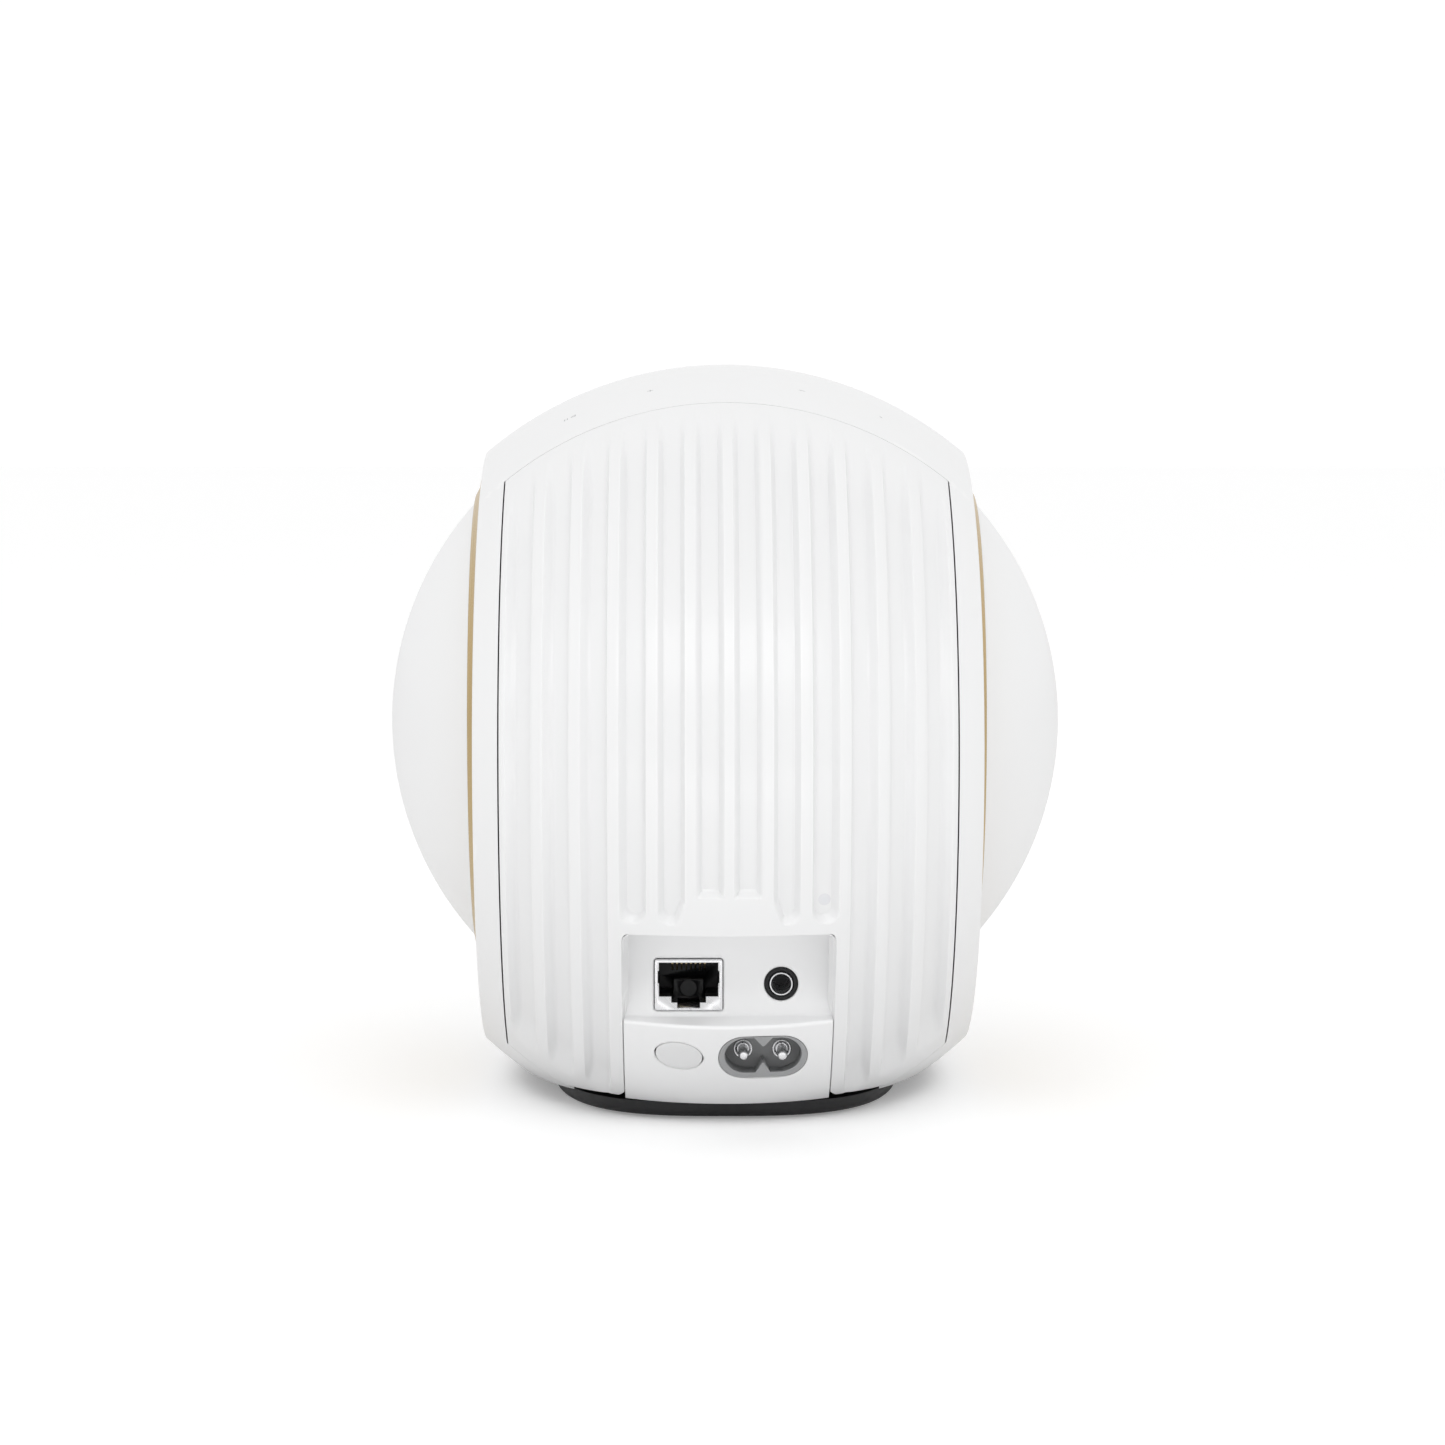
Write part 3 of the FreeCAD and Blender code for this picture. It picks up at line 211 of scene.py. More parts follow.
class Sheet:
    """Surface built from grids that share their edges, then closed into a solid."""

    def __init__(self):
        self.index = {}
        self.outer = []
        self.inner = []
        self.faces = []

    def vertex(self, outer, inner):
        key = tuple(round(c / (0.004 * mm)) for c in outer)
        if key not in self.index:
            self.index[key] = len(self.outer)
            self.outer.append(tuple(outer))
            self.inner.append(tuple(inner))
        return self.index[key]

    def grid(self, rows):
        """rows: lists of (outer, inner) point pairs, all of one length."""
        ids = [[self.vertex(*pair) for pair in row] for row in rows]
        for a, b in zip(ids, ids[1:]):
            for i in range(len(a) - 1):
                face = []
                for v in (a[i], a[i + 1], b[i + 1], b[i]):
                    if v not in face:
                        face.append(v)
                if len(face) > 2:
                    self.faces.append(face)

    def solid(self, name, round_edge=0.35 * mm):
        """Closed mesh object with its rims rounded."""
        count = len(self.outer)
        used = {}
        for face in self.faces:
            for a, b in zip(face, face[1:] + face[:1]):
                used.setdefault(frozenset((a, b)), []).append((a, b))
        rim = [uses[0] for uses in used.values() if len(uses) == 1]
        faces = list(self.faces)
        faces += [[v + count for v in reversed(face)] for face in self.faces]
        faces += [[b, a, a + count, b + count] for a, b in rim]
        mesh = bpy.data.meshes.new(name)
        mesh.from_pydata(self.outer + self.inner, [], faces)
        mesh.validate()
        piece = finish_mesh(name, mesh)
        if round_edge:
            weights = mesh.attributes.new("bevel_weight_edge", "FLOAT", "EDGE")
            rim_pairs = {tuple(sorted(edge)) for edge in rim}
            values = [1.0 if tuple(sorted(edge.vertices)) in rim_pairs else 0.0 for edge in mesh.edges]
            weights.data.foreach_set("value", values)
            bevel = piece.modifiers.new("rounded_rim", "BEVEL")
            bevel.limit_method = "WEIGHT"
            bevel.width = round_edge
            bevel.segments = 3
            bevel.harden_normals = True
        return piece


def finish_mesh(name, mesh, sharp=38):
    """Object with outward faces, smooth except at edges sharper than the given angle."""
    work = bmesh.new()
    work.from_mesh(mesh)
    bmesh.ops.recalc_face_normals(work, faces=work.faces)
    work.to_mesh(mesh)
    work.free()
    mesh.polygons.foreach_set("use_smooth", [True] * len(mesh.polygons))
    mesh.set_sharp_from_angle(angle=math.radians(sharp))
    piece = bpy.data.objects.new(name, mesh)
    bpy.context.collection.objects.link(piece)
    return piece


def spread(low, high, step):
    """Even values from low to high, about one step apart."""
    count = max(1, int(math.ceil(abs(high - low) / step)))
    return [low + (high - low) * i / count for i in range(count + 1)]


def smooth(value):
    """Soft step from 0 to 1."""
    value = max(0.0, min(1.0, value))
    return value * value * (3 - 2 * value)


# Rear cover.
# One aluminium casting, the heat sink of the amplifier, painted satin white. Twelve
# channels are cast into it. The middle six stop above the socket panel's opening, and the
# two in the centre stop higher still, above a smooth raised field.
seam = 0.3 * mm
cover_half = 49.8 * mm
cover_front_y = 44.2 * mm
cover_wall = 2.3 * mm
channel_pitch = 8.3 * mm
channel_width = 5.5 * mm
channel_depth = 2.2 * mm
channel_slope = 1.25 * mm
channel_start_y = 46.0 * mm
channel_low_y = 52.0 * mm
channel_run_in = 24.0 * mm
channel_count = 12
panel_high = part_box("io_panel")[1]
panel_half = panel_high[0]
panel_top = panel_high[2]
panel_corner = 1.7 * mm
channel_end = panel_top + 2.8 * mm
field_top = panel_top + 9.6 * mm
field_top_half = 9.8 * mm
field_foot_half = 12.1 * mm
channel_centres = [(i - (channel_count - 1) / 2) * channel_pitch for i in range(channel_count)]


def field_distance(x, z):
    """Distance outside the raised field; negative inside it."""
    slant = (field_foot_half - field_top_half) / (field_top - channel_end)
    side = (abs(x) - field_top_half - slant * (field_top - z)) / math.hypot(1, slant)
    return max(side, z - field_top)


def channel_drop(x, y, z):
    """How far below the outer form the cover lies at a point."""
    centre = min(channel_centres, key=lambda c: abs(x - c))
    radius = channel_width / 2
    across = abs(x - centre)
    fade = 1.0
    past = 0.0
    if z > axis_z:
        fade = smooth((y - channel_start_y) / channel_run_in)
    elif abs(centre) - radius < panel_half:
        past = channel_end + radius - z
    else:
        fade = smooth((y - channel_low_y) / (0.5 * channel_run_in))
    inside = radius - (math.hypot(across, past) if past > 0 else across)
    if z < axis_z and abs(x) < field_foot_half + channel_slope:
        inside = min(inside, field_distance(x, z) + channel_slope * 0.5)
    return channel_depth * fade * smooth((inside + channel_slope * 0.25) / channel_slope)


def cover_pair(x, angle):
    """Outer and inner point of the cover."""
    base = np.array(form_point(x, angle))
    out = form_normal(*base)
    outer = base - out * channel_drop(*base)
    return outer, base - out * (channel_depth + cover_wall)


def cover_break_z(x):
    """Height of the opening's upper edge, with its rounded corners."""
    edge = panel_half + seam / 2
    top = panel_top + seam / 2
    inward = min(abs(x), edge) - (edge - panel_corner)
    if inward <= 0:
        return top
    return top - panel_corner + math.sqrt(max(0.0, panel_corner ** 2 - inward ** 2))


panel_edge = panel_half + seam / 2
column_step = 0.42 * mm
left_columns = spread(-cover_half, -panel_edge, column_step)
right_columns = spread(panel_edge, cover_half, column_step)
corner_columns = [panel_edge - panel_corner * (1 - math.cos(math.radians(turn)))
                  for turn in (0, 20, 35, 50, 65, 80)]
opening_columns = [x for x in spread(-panel_edge, panel_edge, column_step)
                   if abs(x) < panel_edge - panel_corner]
opening_columns = sorted(opening_columns + corner_columns + [-x for x in corner_columns])
notch_reach = 1.1 * mm
cover_hem = 0.9 * mm


def cover_rows(x, upper):
    """Angles down one column: from the front edge to the opening's level, or from there down."""
    middle = angle_at_z(x, cover_break_z(x))
    if upper:
        start = angle_at_y(x, cover_front_y, True)
        return [start + (middle - start) * i / 330 for i in range(331)]
    notch = max(0.0, notch_reach - (abs(x) - panel_edge))
    end = max(angle_at_z(x, mouth_z + cover_hem + notch), angle_at_y(x, cover_front_y, False))
    return [middle + (end - middle) * i / 90 for i in range(91)]


cover_sheet = Sheet()
for group, lower in ((left_columns, True), (opening_columns, False), (right_columns, True)):
    cover_sheet.grid([[cover_pair(x, a) for a in cover_rows(x, True)] for x in group])
    if lower:
        cover_sheet.grid([[cover_pair(x, a) for a in cover_rows(x, False)] for x in group])
cover = cover_sheet.solid("heatsink_cover", 0.3 * mm)


def add(tree, kind, place=(0, 0), **values):
    """New shader node with its properties set."""
    node = tree.nodes.new(kind)
    node.location = place
    for name, value in values.items():
        setattr(node, name, value)
    return node


def make_group(name, inputs, outputs):
    """Empty node group with named sockets. inputs and outputs hold (name, kind, default)."""
    group = bpy.data.node_groups.new(name, "ShaderNodeTree")
    for in_out, sockets in (("INPUT", inputs), ("OUTPUT", outputs)):
        for label, kind, default in sockets:
            socket = group.interface.new_socket(name=label, in_out=in_out, socket_type=kind)
            if default is not None:
                socket.default_value = default
    return group, add(group, "NodeGroupInput", (-900, 0)), add(group, "NodeGroupOutput", (700, 0))


surface_results = [("Colour", "NodeSocketColor", None), ("Roughness", "NodeSocketFloat", None),
                   ("Height", "NodeSocketFloat", None)]


def build_sprayed_paint():
    """Sprayed paint: fine peel in the height, slow drift in colour and gloss, thin on edges."""
    group, given, result = make_group(
        "sprayed_paint",
        [("Colour", "NodeSocketColor", (0.8, 0.8, 0.8, 1)),
         ("Edge Colour", "NodeSocketColor", (0.8, 0.8, 0.8, 1)),
         ("Roughness", "NodeSocketFloat", 0.4), ("Peel Scale", "NodeSocketFloat", 900.0),
         ("Drift", "NodeSocketFloat", 0.02)], surface_results)
    link = group.links.new
    place = add(group, "ShaderNodeTexCoord", (-900, 300))
    peel = add(group, "ShaderNodeTexNoise", (-600, 300))
    peel.inputs["Detail"].default_value = 2.0
    link(place.outputs["Object"], peel.inputs["Vector"])
    link(given.outputs["Peel Scale"], peel.inputs["Scale"])
    slow = add(group, "ShaderNodeTexNoise", (-600, 0))
    slow.inputs["Scale"].default_value = 28.0
    slow.inputs["Detail"].default_value = 3.0
    link(place.outputs["Object"], slow.inputs["Vector"])
    geometry = add(group, "ShaderNodeNewGeometry", (-900, -300))
    edge = add(group, "ShaderNodeMapRange", (-600, -300))
    edge.inputs["From Min"].default_value = 0.52
    edge.inputs["From Max"].default_value = 0.62
    link(geometry.outputs["Pointiness"], edge.inputs["Value"])
    tint = add(group, "ShaderNodeMix", (-300, 0), data_type="RGBA")
    link(edge.outputs["Result"], tint.inputs["Factor"])
    link(given.outputs["Colour"], tint.inputs["A"])
    link(given.outputs["Edge Colour"], tint.inputs["B"])
    centred = add(group, "ShaderNodeMath", (-300, 250), operation="SUBTRACT")
    centred.inputs[1].default_value = 0.5
    link(slow.outputs["Fac"], centred.inputs[0])
    amount = add(group, "ShaderNodeMath", (-100, 250), operation="MULTIPLY")
    link(centred.outputs[0], amount.inputs[0])
    link(given.outputs["Drift"], amount.inputs[1])
    level = add(group, "ShaderNodeMath", (100, 250), operation="ADD")
    level.inputs[1].default_value = 1.0
    link(amount.outputs[0], level.inputs[0])
    shade = add(group, "ShaderNodeVectorMath", (300, 100), operation="SCALE")
    link(tint.outputs["Result"], shade.inputs[0])
    link(level.outputs[0], shade.inputs["Scale"])
    link(shade.outputs[0], result.inputs["Colour"])
    gloss = add(group, "ShaderNodeMath", (300, -100), operation="ADD")
    link(given.outputs["Roughness"], gloss.inputs[0])
    link(amount.outputs[0], gloss.inputs[1])
    link(gloss.outputs[0], result.inputs["Roughness"])
    link(peel.outputs["Fac"], result.inputs["Height"])
    return group


sprayed_paint = build_sprayed_paint()


def surface(name, effect, settings, height):
    """Material whose colour, gloss and fine relief come from one effect."""
    material, tree, shader = new_material(name)
    finish = add(tree, "ShaderNodeGroup", (-600, 0), node_tree=effect)
    for label, value in settings.items():
        finish.inputs[label].default_value = value
    bump = add(tree, "ShaderNodeBump", (-300, -200))
    bump.inputs["Distance"].default_value = height
    tree.links.new(finish.outputs["Height"], bump.inputs["Height"])
    tree.links.new(finish.outputs["Colour"], shader.inputs["Base Color"])
    tree.links.new(finish.outputs["Roughness"], shader.inputs["Roughness"])
    tree.links.new(bump.outputs["Normal"], shader.inputs["Normal"])
    return material, shader


def painted(name, colour, edge_colour, roughness, peel_scale, peel_height,
            drift=0.03, coat=0.0, specular=0.5):
    """Material of a sprayed or moulded surface."""
    material, shader = surface(
        name, sprayed_paint,
        {"Colour": (*colour, 1), "Edge Colour": (*edge_colour, 1), "Roughness": roughness,
         "Peel Scale": peel_scale, "Drift": drift}, peel_height)
    shader.inputs["Coat Weight"].default_value = coat
    shader.inputs["Coat Roughness"].default_value = 0.12
    shader.inputs["Specular IOR Level"].default_value = specular
    return material


def fit_out(piece, material, body, node):
    """Give a finished piece its material and its body, and hide the CAD piece that it stands for."""
    piece.data.materials.clear()
    piece.data.materials.append(material)
    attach(piece, body)
    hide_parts(node)


cover_paint = painted("cover_paint", (0.85, 0.852, 0.855), (0.91, 0.91, 0.91), 0.36, 1100.0, 0.012 * mm,
                      0.03, 0.25)
fit_out(cover, cover_paint, "housing", "rear_heatsink_cover")


def dress(node, material):
    """Give a carried-over CAD piece its finish."""
    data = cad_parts[node].data
    if data.materials:
        for i in range(len(data.materials)):
            data.materials[i] = material
    else:
        data.materials.append(material)


# Status light.
# A milky lens, a little under three millimetres across, pushed into a hole in the floor of
# one channel.
light_lens = painted("light_lens", (0.78, 0.79, 0.81), (0.8, 0.8, 0.82), 0.25, 2600.0, 0.003 * mm)
dress("status_light_window", light_lens)

# Main shell.
# One moulding that wraps over the top, down the front and under the belly, with a narrow
# strip each side of the rear cover. Its flanks are cut flat and show the wall's thickness.
shell_wall = 3.0 * mm
shell_rear_half = cover_half + seam
shell_rear_y = cover_front_y - 0.5 * seam
mouth_share = (axis_z - mouth_z) / drop
mouth_tip_x = half_width * math.sqrt(1 - mouth_share ** 2)


def shell_pair(x, angle):
    """Outer and inner point of the shell."""
    return form_point(x, angle), form_point(x, angle, shell_wall)


def below_front(x):
    """Angle where the front runs into the mouth underneath, or the lowest line of the belly."""
    share = math.sqrt(1 - (x / half_width) ** 2)
    return math.pi + math.asin(min(1.0, mouth_share / share))


def rear_low(x):
    """Angle of the shell's rear edge on its underside."""
    return 2 * math.pi - angle_at_y(x, shell_rear_y, True)


def shell_grid(columns, start, end, count):
    """One patch of the shell between two angles that depend on the column."""
    rows = []
    for x in columns:
        low, high = start(x), end(x)
        if high > low:
            rows.append([shell_pair(x, low + (high - low) * i / count) for i in range(count + 1)])
    return rows


def rear_rim(x):
    """Angle where the underside behind the mouth begins."""
    return 3 * math.pi - below_front(x)


def rear_top(x):
    """Angle of the shell's rear edge on its top, one turn on."""
    return 2 * math.pi + angle_at_y(x, shell_rear_y, True)


rear_start_x = half_width * math.sqrt(1 - mouth_share ** 2 - (shell_rear_y / half_depth) ** 2)
strip_columns = spread(shell_rear_half, flank_x, 0.6 * mm)
tip_columns = spread(mouth_tip_x, shell_rear_half, 0.3 * mm)
middle_columns = sorted({round(x, 8) for x in spread(0, mouth_tip_x, 1.1 * mm) + tip_columns})
shell_sheet = Sheet()
for side in (-1, 1):
    inner_x = sorted(side * x for x in middle_columns)
    outer_x = sorted(side * x for x in strip_columns)
    for columns in (inner_x, outer_x):
        shell_sheet.grid(shell_grid(columns, lambda x: angle_at_y(x, shell_rear_y, True), below_front, 220))
    corner = spread(rear_start_x + 0.001 * mm, mouth_tip_x, 0.9 * mm) + tip_columns[1:]
    corner = sorted(side * x for x in corner)
    for columns in (corner, outer_x):
        shell_sheet.grid(shell_grid(columns, rear_rim, rear_low, 40))
    shell_sheet.grid(shell_grid(outer_x, rear_low, rear_top, 200))
shell = shell_sheet.solid("shell", 0.4 * mm)


def carve(piece, tool, operation="DIFFERENCE"):
    """Cut, join or keep the common part of two meshes; the tool is used up."""
    step = piece.modifiers.new("carve", "BOOLEAN")
    step.operation = operation
    step.solver = "EXACT"
    step.object = tool
    bpy.context.view_layer.objects.active = piece
    for modifier in list(piece.modifiers):
        bpy.ops.object.modifier_apply(modifier=modifier.name)
    bpy.data.objects.remove(tool)


trim_low, trim_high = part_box("front_trim_ring")
trim_radius = (trim_high[0] - trim_low[0]) / 2
bpy.ops.mesh.primitive_cylinder_add(vertices=192, radius=trim_radius + 0.1 * mm, depth=0.2,
                                    location=(0, -0.12, woofer_z), rotation=(math.pi / 2, 0, 0))
carve(shell, bpy.context.object)
shell_paint = painted("shell_paint", (0.855, 0.857, 0.86), (0.89, 0.89, 0.89), 0.3, 1600.0, 0.004 * mm,
                      0.02, 0.35)
fit_out(shell, shell_paint, "housing", "main_shell")

# Touch marks.
# Four tiny grey marks printed on the top, over the touch film: play, plus, minus and a dot.
ink = painted("mark_ink", (0.42, 0.42, 0.43), (0.42, 0.42, 0.43), 0.5, 2400.0, 0.001 * mm)
mark_strokes = {
    "play": ((34.4, 29.4, 34.4, 30.6), (34.4, 30.6, 35.4, 30.0), (35.4, 30.0, 34.4, 29.4),
             (36.2, 29.4, 36.2, 30.6), (36.8, 29.4, 36.8, 30.6)),
    "plus": ((16.6, 30.0, 18.0, 30.0), (17.3, 29.3, 17.3, 30.7)),
    "minus": ((-16.6, 30.0, -18.0, 30.0),),
    "dot": ((-35.6, 30.0, -35.0, 30.0), (-35.3, 29.7, -35.3, 30.3)),
}
mark_sheet = Sheet()
for strokes in mark_strokes.values():
    for x0, y0, x1, y1 in strokes:
        start, end = np.array((x0, y0)) * mm, np.array((x1, y1)) * mm
        away_from_line = np.array((y0 - y1, x1 - x0)) / math.hypot(x1 - x0, y1 - y0) * 0.11 * mm
        rows = []
        for share in (0.0, 0.5, 1.0):
            row = []
            for half in (-1, 1):
                x, y = start + (end - start) * share + away_from_line * half
                level = axis_z + rise * math.sqrt(1 - (x / half_width) ** 2 - (y / half_depth) ** 2)
                row.append(((x, y, level + 0.012 * mm), (x, y, level - 0.01 * mm)))
            rows.append(row)
        mark_sheet.grid(rows)
marks = mark_sheet.solid("touch_marks", 0)
marks.data.materials.append(ink)
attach(marks, "housing")


# Side woofers.
# Each dome is a stiff white cap that moves as a whole on a black rubber surround. A spun and
# brushed metal panel, dished and trimmed to the shell's oval, closes the flank round it, and
# its raised lip frames the dome.
def turned(name, profile, centre, along, turns=160, closed=True):
    """Mesh of revolution. profile holds (distance off the axis, distance along it)."""
    centre = np.array(centre)
    along = np.array(along, dtype=float)
    side = np.cross(along, (0, 0, 1.0))
    side /= np.linalg.norm(side)
    up = np.cross(side, along)
    points, faces, rings = [], [], []
    for radius, distance in profile:
        if radius < 1e-7:
            rings.append([len(points)] * turns)
            points.append(tuple(centre + along * distance))
            continue
        rings.append(list(range(len(points), len(points) + turns)))
        for i in range(turns):
            angle = 2 * math.pi * i / turns
            spoke = side * math.cos(angle) + up * math.sin(angle)
            points.append(tuple(centre + along * distance + radius * spoke))
    pairs = list(zip(rings, rings[1:] + rings[:1])) if closed else list(zip(rings, rings[1:]))
    for a, b in pairs:
        for i in range(turns):
            j = (i + 1) % turns
            face = []
            for v in (a[i], a[j], b[j], b[i]):
                if v not in face:
                    face.append(v)
            if len(face) > 2:
                faces.append(face)
    mesh = bpy.data.meshes.new(name)
    mesh.from_pydata(points, [], faces)
    mesh.validate()
    return finish_mesh(name, mesh, 32)


def arc(centre, radius, start, end, count):
    """Points on an arc, angles in degrees."""
    return [(centre[0] + radius * math.cos(math.radians(start + (end - start) * i / count)),
             centre[1] + radius * math.sin(math.radians(start + (end - start) * i / count)))
            for i in range(count + 1)]


dome_radius = 76.0 * mm
dome_wall = 1.2 * mm
dome_base = (dome_high[1] - dome_low[1]) / 2
dome_apex = dome_high[0]
dome_skirt_x = dome_low[0]
dome_centre = dome_apex - dome_radius
dome_edge = math.degrees(math.acos(dome_base / dome_radius))
dome_inner_edge = math.degrees(math.acos((dome_base - dome_wall) / (dome_radius - dome_wall)))
dome_paint = painted("dome_paint", (0.885, 0.887, 0.89), (0.9, 0.9, 0.9), 0.34, 1800.0, 0.003 * mm,
                     0.015, 0.2)


def dome_profile():
    """Outer cap, rounded foot of the skirt, inner cap."""
    outer = arc((0, dome_centre), dome_radius, 90, dome_edge, 64)
    inner = arc((0, dome_centre), dome_radius - dome_wall, dome_inner_edge, 90, 32)
    skirt = [(dome_base, dome_skirt_x + 0.2 * mm), (dome_base - 0.2 * mm, dome_skirt_x),
             (dome_base - dome_wall, dome_skirt_x)]
    return [(0.0, dome_apex)] + outer[1:] + skirt + inner[:-1] + [(0.0, dome_apex - dome_wall)]


ring_gap = 1.0 * mm
ring_crest = 0.15 * mm
ring_width = 3.1 * mm
ring_drop = 1.3 * mm
flank_slope = 0.127
flank_thick = 1.2 * mm
flank_gap = 0.3 * mm
dome_base_x = dome_centre + math.sqrt(dome_radius ** 2 - dome_base ** 2)
lip_r = dome_base + ring_gap
crest_x = dome_base_x + ring_crest
valley_r = lip_r + ring_width
valley_x = crest_x - ring_drop


def flank_reach(angle):
    """Distance from the woofer's axis to the oval edge of the panel, at one angle."""
    inset = shell_wall + flank_gap
    low, high = valley_r, half_depth
    for _ in range(40):
        r = (low + high) / 2
        x = valley_x - (r - valley_r) * flank_slope
        z = woofer_z + r * math.sin(angle)
        reach = (rise if z > axis_z else drop) - inset
        level = ((x / (half_width - inset)) ** 2 + (r * math.cos(angle) / (half_depth - inset)) ** 2
                 + ((z - axis_z) / reach) ** 2)
        low, high = (r, high) if level < 1 else (low, r)
    return low


def flank_mesh(name, side):
    """Dished panel with its rolled lip, trimmed to the oval."""
    turns = 240
    crest = arc((lip_r + 0.45 * mm, crest_x - 0.45 * mm), 0.45 * mm, 180, 62, 6)
    slope_down = (valley_r - 0.5 * mm, valley_x + 0.22 * mm)
    sheet = Sheet()
    rows = []
    for i in range(turns + 1):
        angle = 2 * math.pi * (i % turns) / turns
        reach = flank_reach(angle)
        line = [(lip_r, crest_x - flank_thick)] + crest
        line += [slope_down, (valley_r - 0.1 * mm, valley_x + 0.04 * mm),
                 (valley_r + 0.4 * mm, valley_x - 0.06 * mm)]
        start = valley_r + 1 * mm
        for k in range(25):
            r = start + (reach - start) * k / 24
            line.append((r, valley_x - (r - valley_r) * flank_slope))
        row = []
        for r, x in line:
            y = r * math.cos(angle)
            z = woofer_z + r * math.sin(angle)
            under = min(x, crest_x - flank_thick * 0.5) - flank_thick
            row.append(((side * x, y, z), (side * under, y, z)))
        rows.append(row)
    sheet.grid(rows)
    return sheet.solid(name, 0.12 * mm)


def build_spun_metal():
    """Spun and brushed metal: fine rings round the X axis, changing in tone and gloss ring by ring."""
    group, given, result = make_group(
        "spun_metal",
        [("Colour", "NodeSocketColor", (0.8, 0.6, 0.4, 1)),
         ("Dark Colour", "NodeSocketColor", (0.6, 0.45, 0.3, 1)),
         ("Roughness", "NodeSocketFloat", 0.3), ("Rings", "NodeSocketFloat", 2600.0),
         ("Height", "NodeSocketFloat", 0.0845)], surface_results)
    link = group.links.new
    place = add(group, "ShaderNodeTexCoord", (-900, 300))
    parts = add(group, "ShaderNodeSeparateXYZ", (-700, 300))
    link(place.outputs["Object"], parts.inputs[0])
    lift = add(group, "ShaderNodeMath", (-500, 100), operation="SUBTRACT")
    link(parts.outputs["Z"], lift.inputs[0])
    link(given.outputs["Height"], lift.inputs[1])
    flat = add(group, "ShaderNodeCombineXYZ", (-350, 200))
    link(parts.outputs["Y"], flat.inputs["X"])
    link(lift.outputs[0], flat.inputs["Y"])
    length = add(group, "ShaderNodeVectorMath", (-200, 200), operation="LENGTH")
    link(flat.outputs[0], length.inputs[0])
    across = add(group, "ShaderNodeMath", (-200, 50), operation="MULTIPLY_ADD")
    link(parts.outputs["X"], across.inputs[0])
    across.inputs[1].default_value = 0.6
    link(length.outputs["Value"], across.inputs[2])
    grain = add(group, "ShaderNodeTexNoise", (0, 200), noise_dimensions="1D")
    grain.inputs["Detail"].default_value = 4.0
    link(across.outputs[0], grain.inputs["W"])
    link(given.outputs["Rings"], grain.inputs["Scale"])
    mix = add(group, "ShaderNodeMix", (250, 200), data_type="RGBA")
    link(grain.outputs["Fac"], mix.inputs["Factor"])
    link(given.outputs["Dark Colour"], mix.inputs["A"])
    link(given.outputs["Colour"], mix.inputs["B"])
    link(mix.outputs["Result"], result.inputs["Colour"])
    rough = add(group, "ShaderNodeMath", (250, 0), operation="MULTIPLY_ADD")
    link(grain.outputs["Fac"], rough.inputs[0])
    rough.inputs[1].default_value = 0.12
    link(given.outputs["Roughness"], rough.inputs[2])
    link(rough.outputs[0], result.inputs["Roughness"])
    link(grain.outputs["Fac"], result.inputs["Height"])
    return group


spun_metal = build_spun_metal()


def spun(name, colour, dark, roughness, rings, height):
    """Material of a spun or turned metal piece."""
    material, shader = surface(
        name, spun_metal,
        {"Colour": (*colour, 1), "Dark Colour": (*dark, 1), "Roughness": roughness, "Rings": rings}, height)
    shader.inputs["Metallic"].default_value = 1.0
    return material


gold = spun("brushed_gold", (0.64, 0.46, 0.19), (0.38, 0.26, 0.1), 0.2, 5200.0, 0.004 * mm)
rubber = painted("surround_rubber", (0.02, 0.02, 0.021), (0.04, 0.04, 0.042), 0.62, 1500.0, 0.01 * mm)
for side, word in ((-1, "left"), (1, "right")):
    dome = turned(word + "_dome", dome_profile(), (0, 0, woofer_z), (side, 0, 0))
    fit_out(dome, dome_paint, word + "_woofer", word + "_woofer_dome")
    flank = flank_mesh(word + "_flank", side)
    fit_out(flank, gold, "housing", word + "_flank_panel")


# Surrounds.
# Black rubber rings that close the slot round each dome. The inner land is glued under the
# dome's skirt, the outer land on the woofer's frame, with one soft fold between them.
def fold_profile(land_in, fold_in, fold_out, land_out, high, low, thick):
    """Closed section of a ring with a high inner land and a low outer land."""
    upper, lower = [(land_in, high - 0.15 * mm), (land_in + 0.15 * mm, high)], [(land_in, high - thick)]
    for i in range(25):
        share = i / 24
        r = fold_in + (fold_out - fold_in) * share
        level = low + (high - low) * (1 + math.cos(math.pi * share)) / 2
        ripple = 0.12 * mm * math.sin(math.pi * share) * math.cos(9 * math.pi * share)
        upper.append((r + thick * 0.5 * math.sin(math.pi * share), level + ripple))
        lower.append((r, level - thick))
    upper += [(land_out - 0.15 * mm, low), (land_out, low - 0.15 * mm)]
    lower.append((land_out, low - thick))
    return upper + lower[::-1]


for side, word in ((-1, "left"), (1, "right")):
    ring_low, ring_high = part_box(word + "_woofer_surround")
    reach_out = max(abs(ring_low[0]), abs(ring_high[0]))
    reach_in = min(abs(ring_low[0]), abs(ring_high[0]))
    land_out = (ring_high[1] - ring_low[1]) / 2
    profile = fold_profile(dome_base - 2.2 * mm, dome_base + 0.3 * mm, land_out - 5.2 * mm, land_out,
                           reach_out, reach_in + 0.6 * mm, 0.6 * mm)
    surround = turned(word + "_surround", profile, (0, 0, woofer_z), (side, 0, 0))
    surround.data.materials.append(rubber)
    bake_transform(surround)
    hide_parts(word + "_woofer_surround")


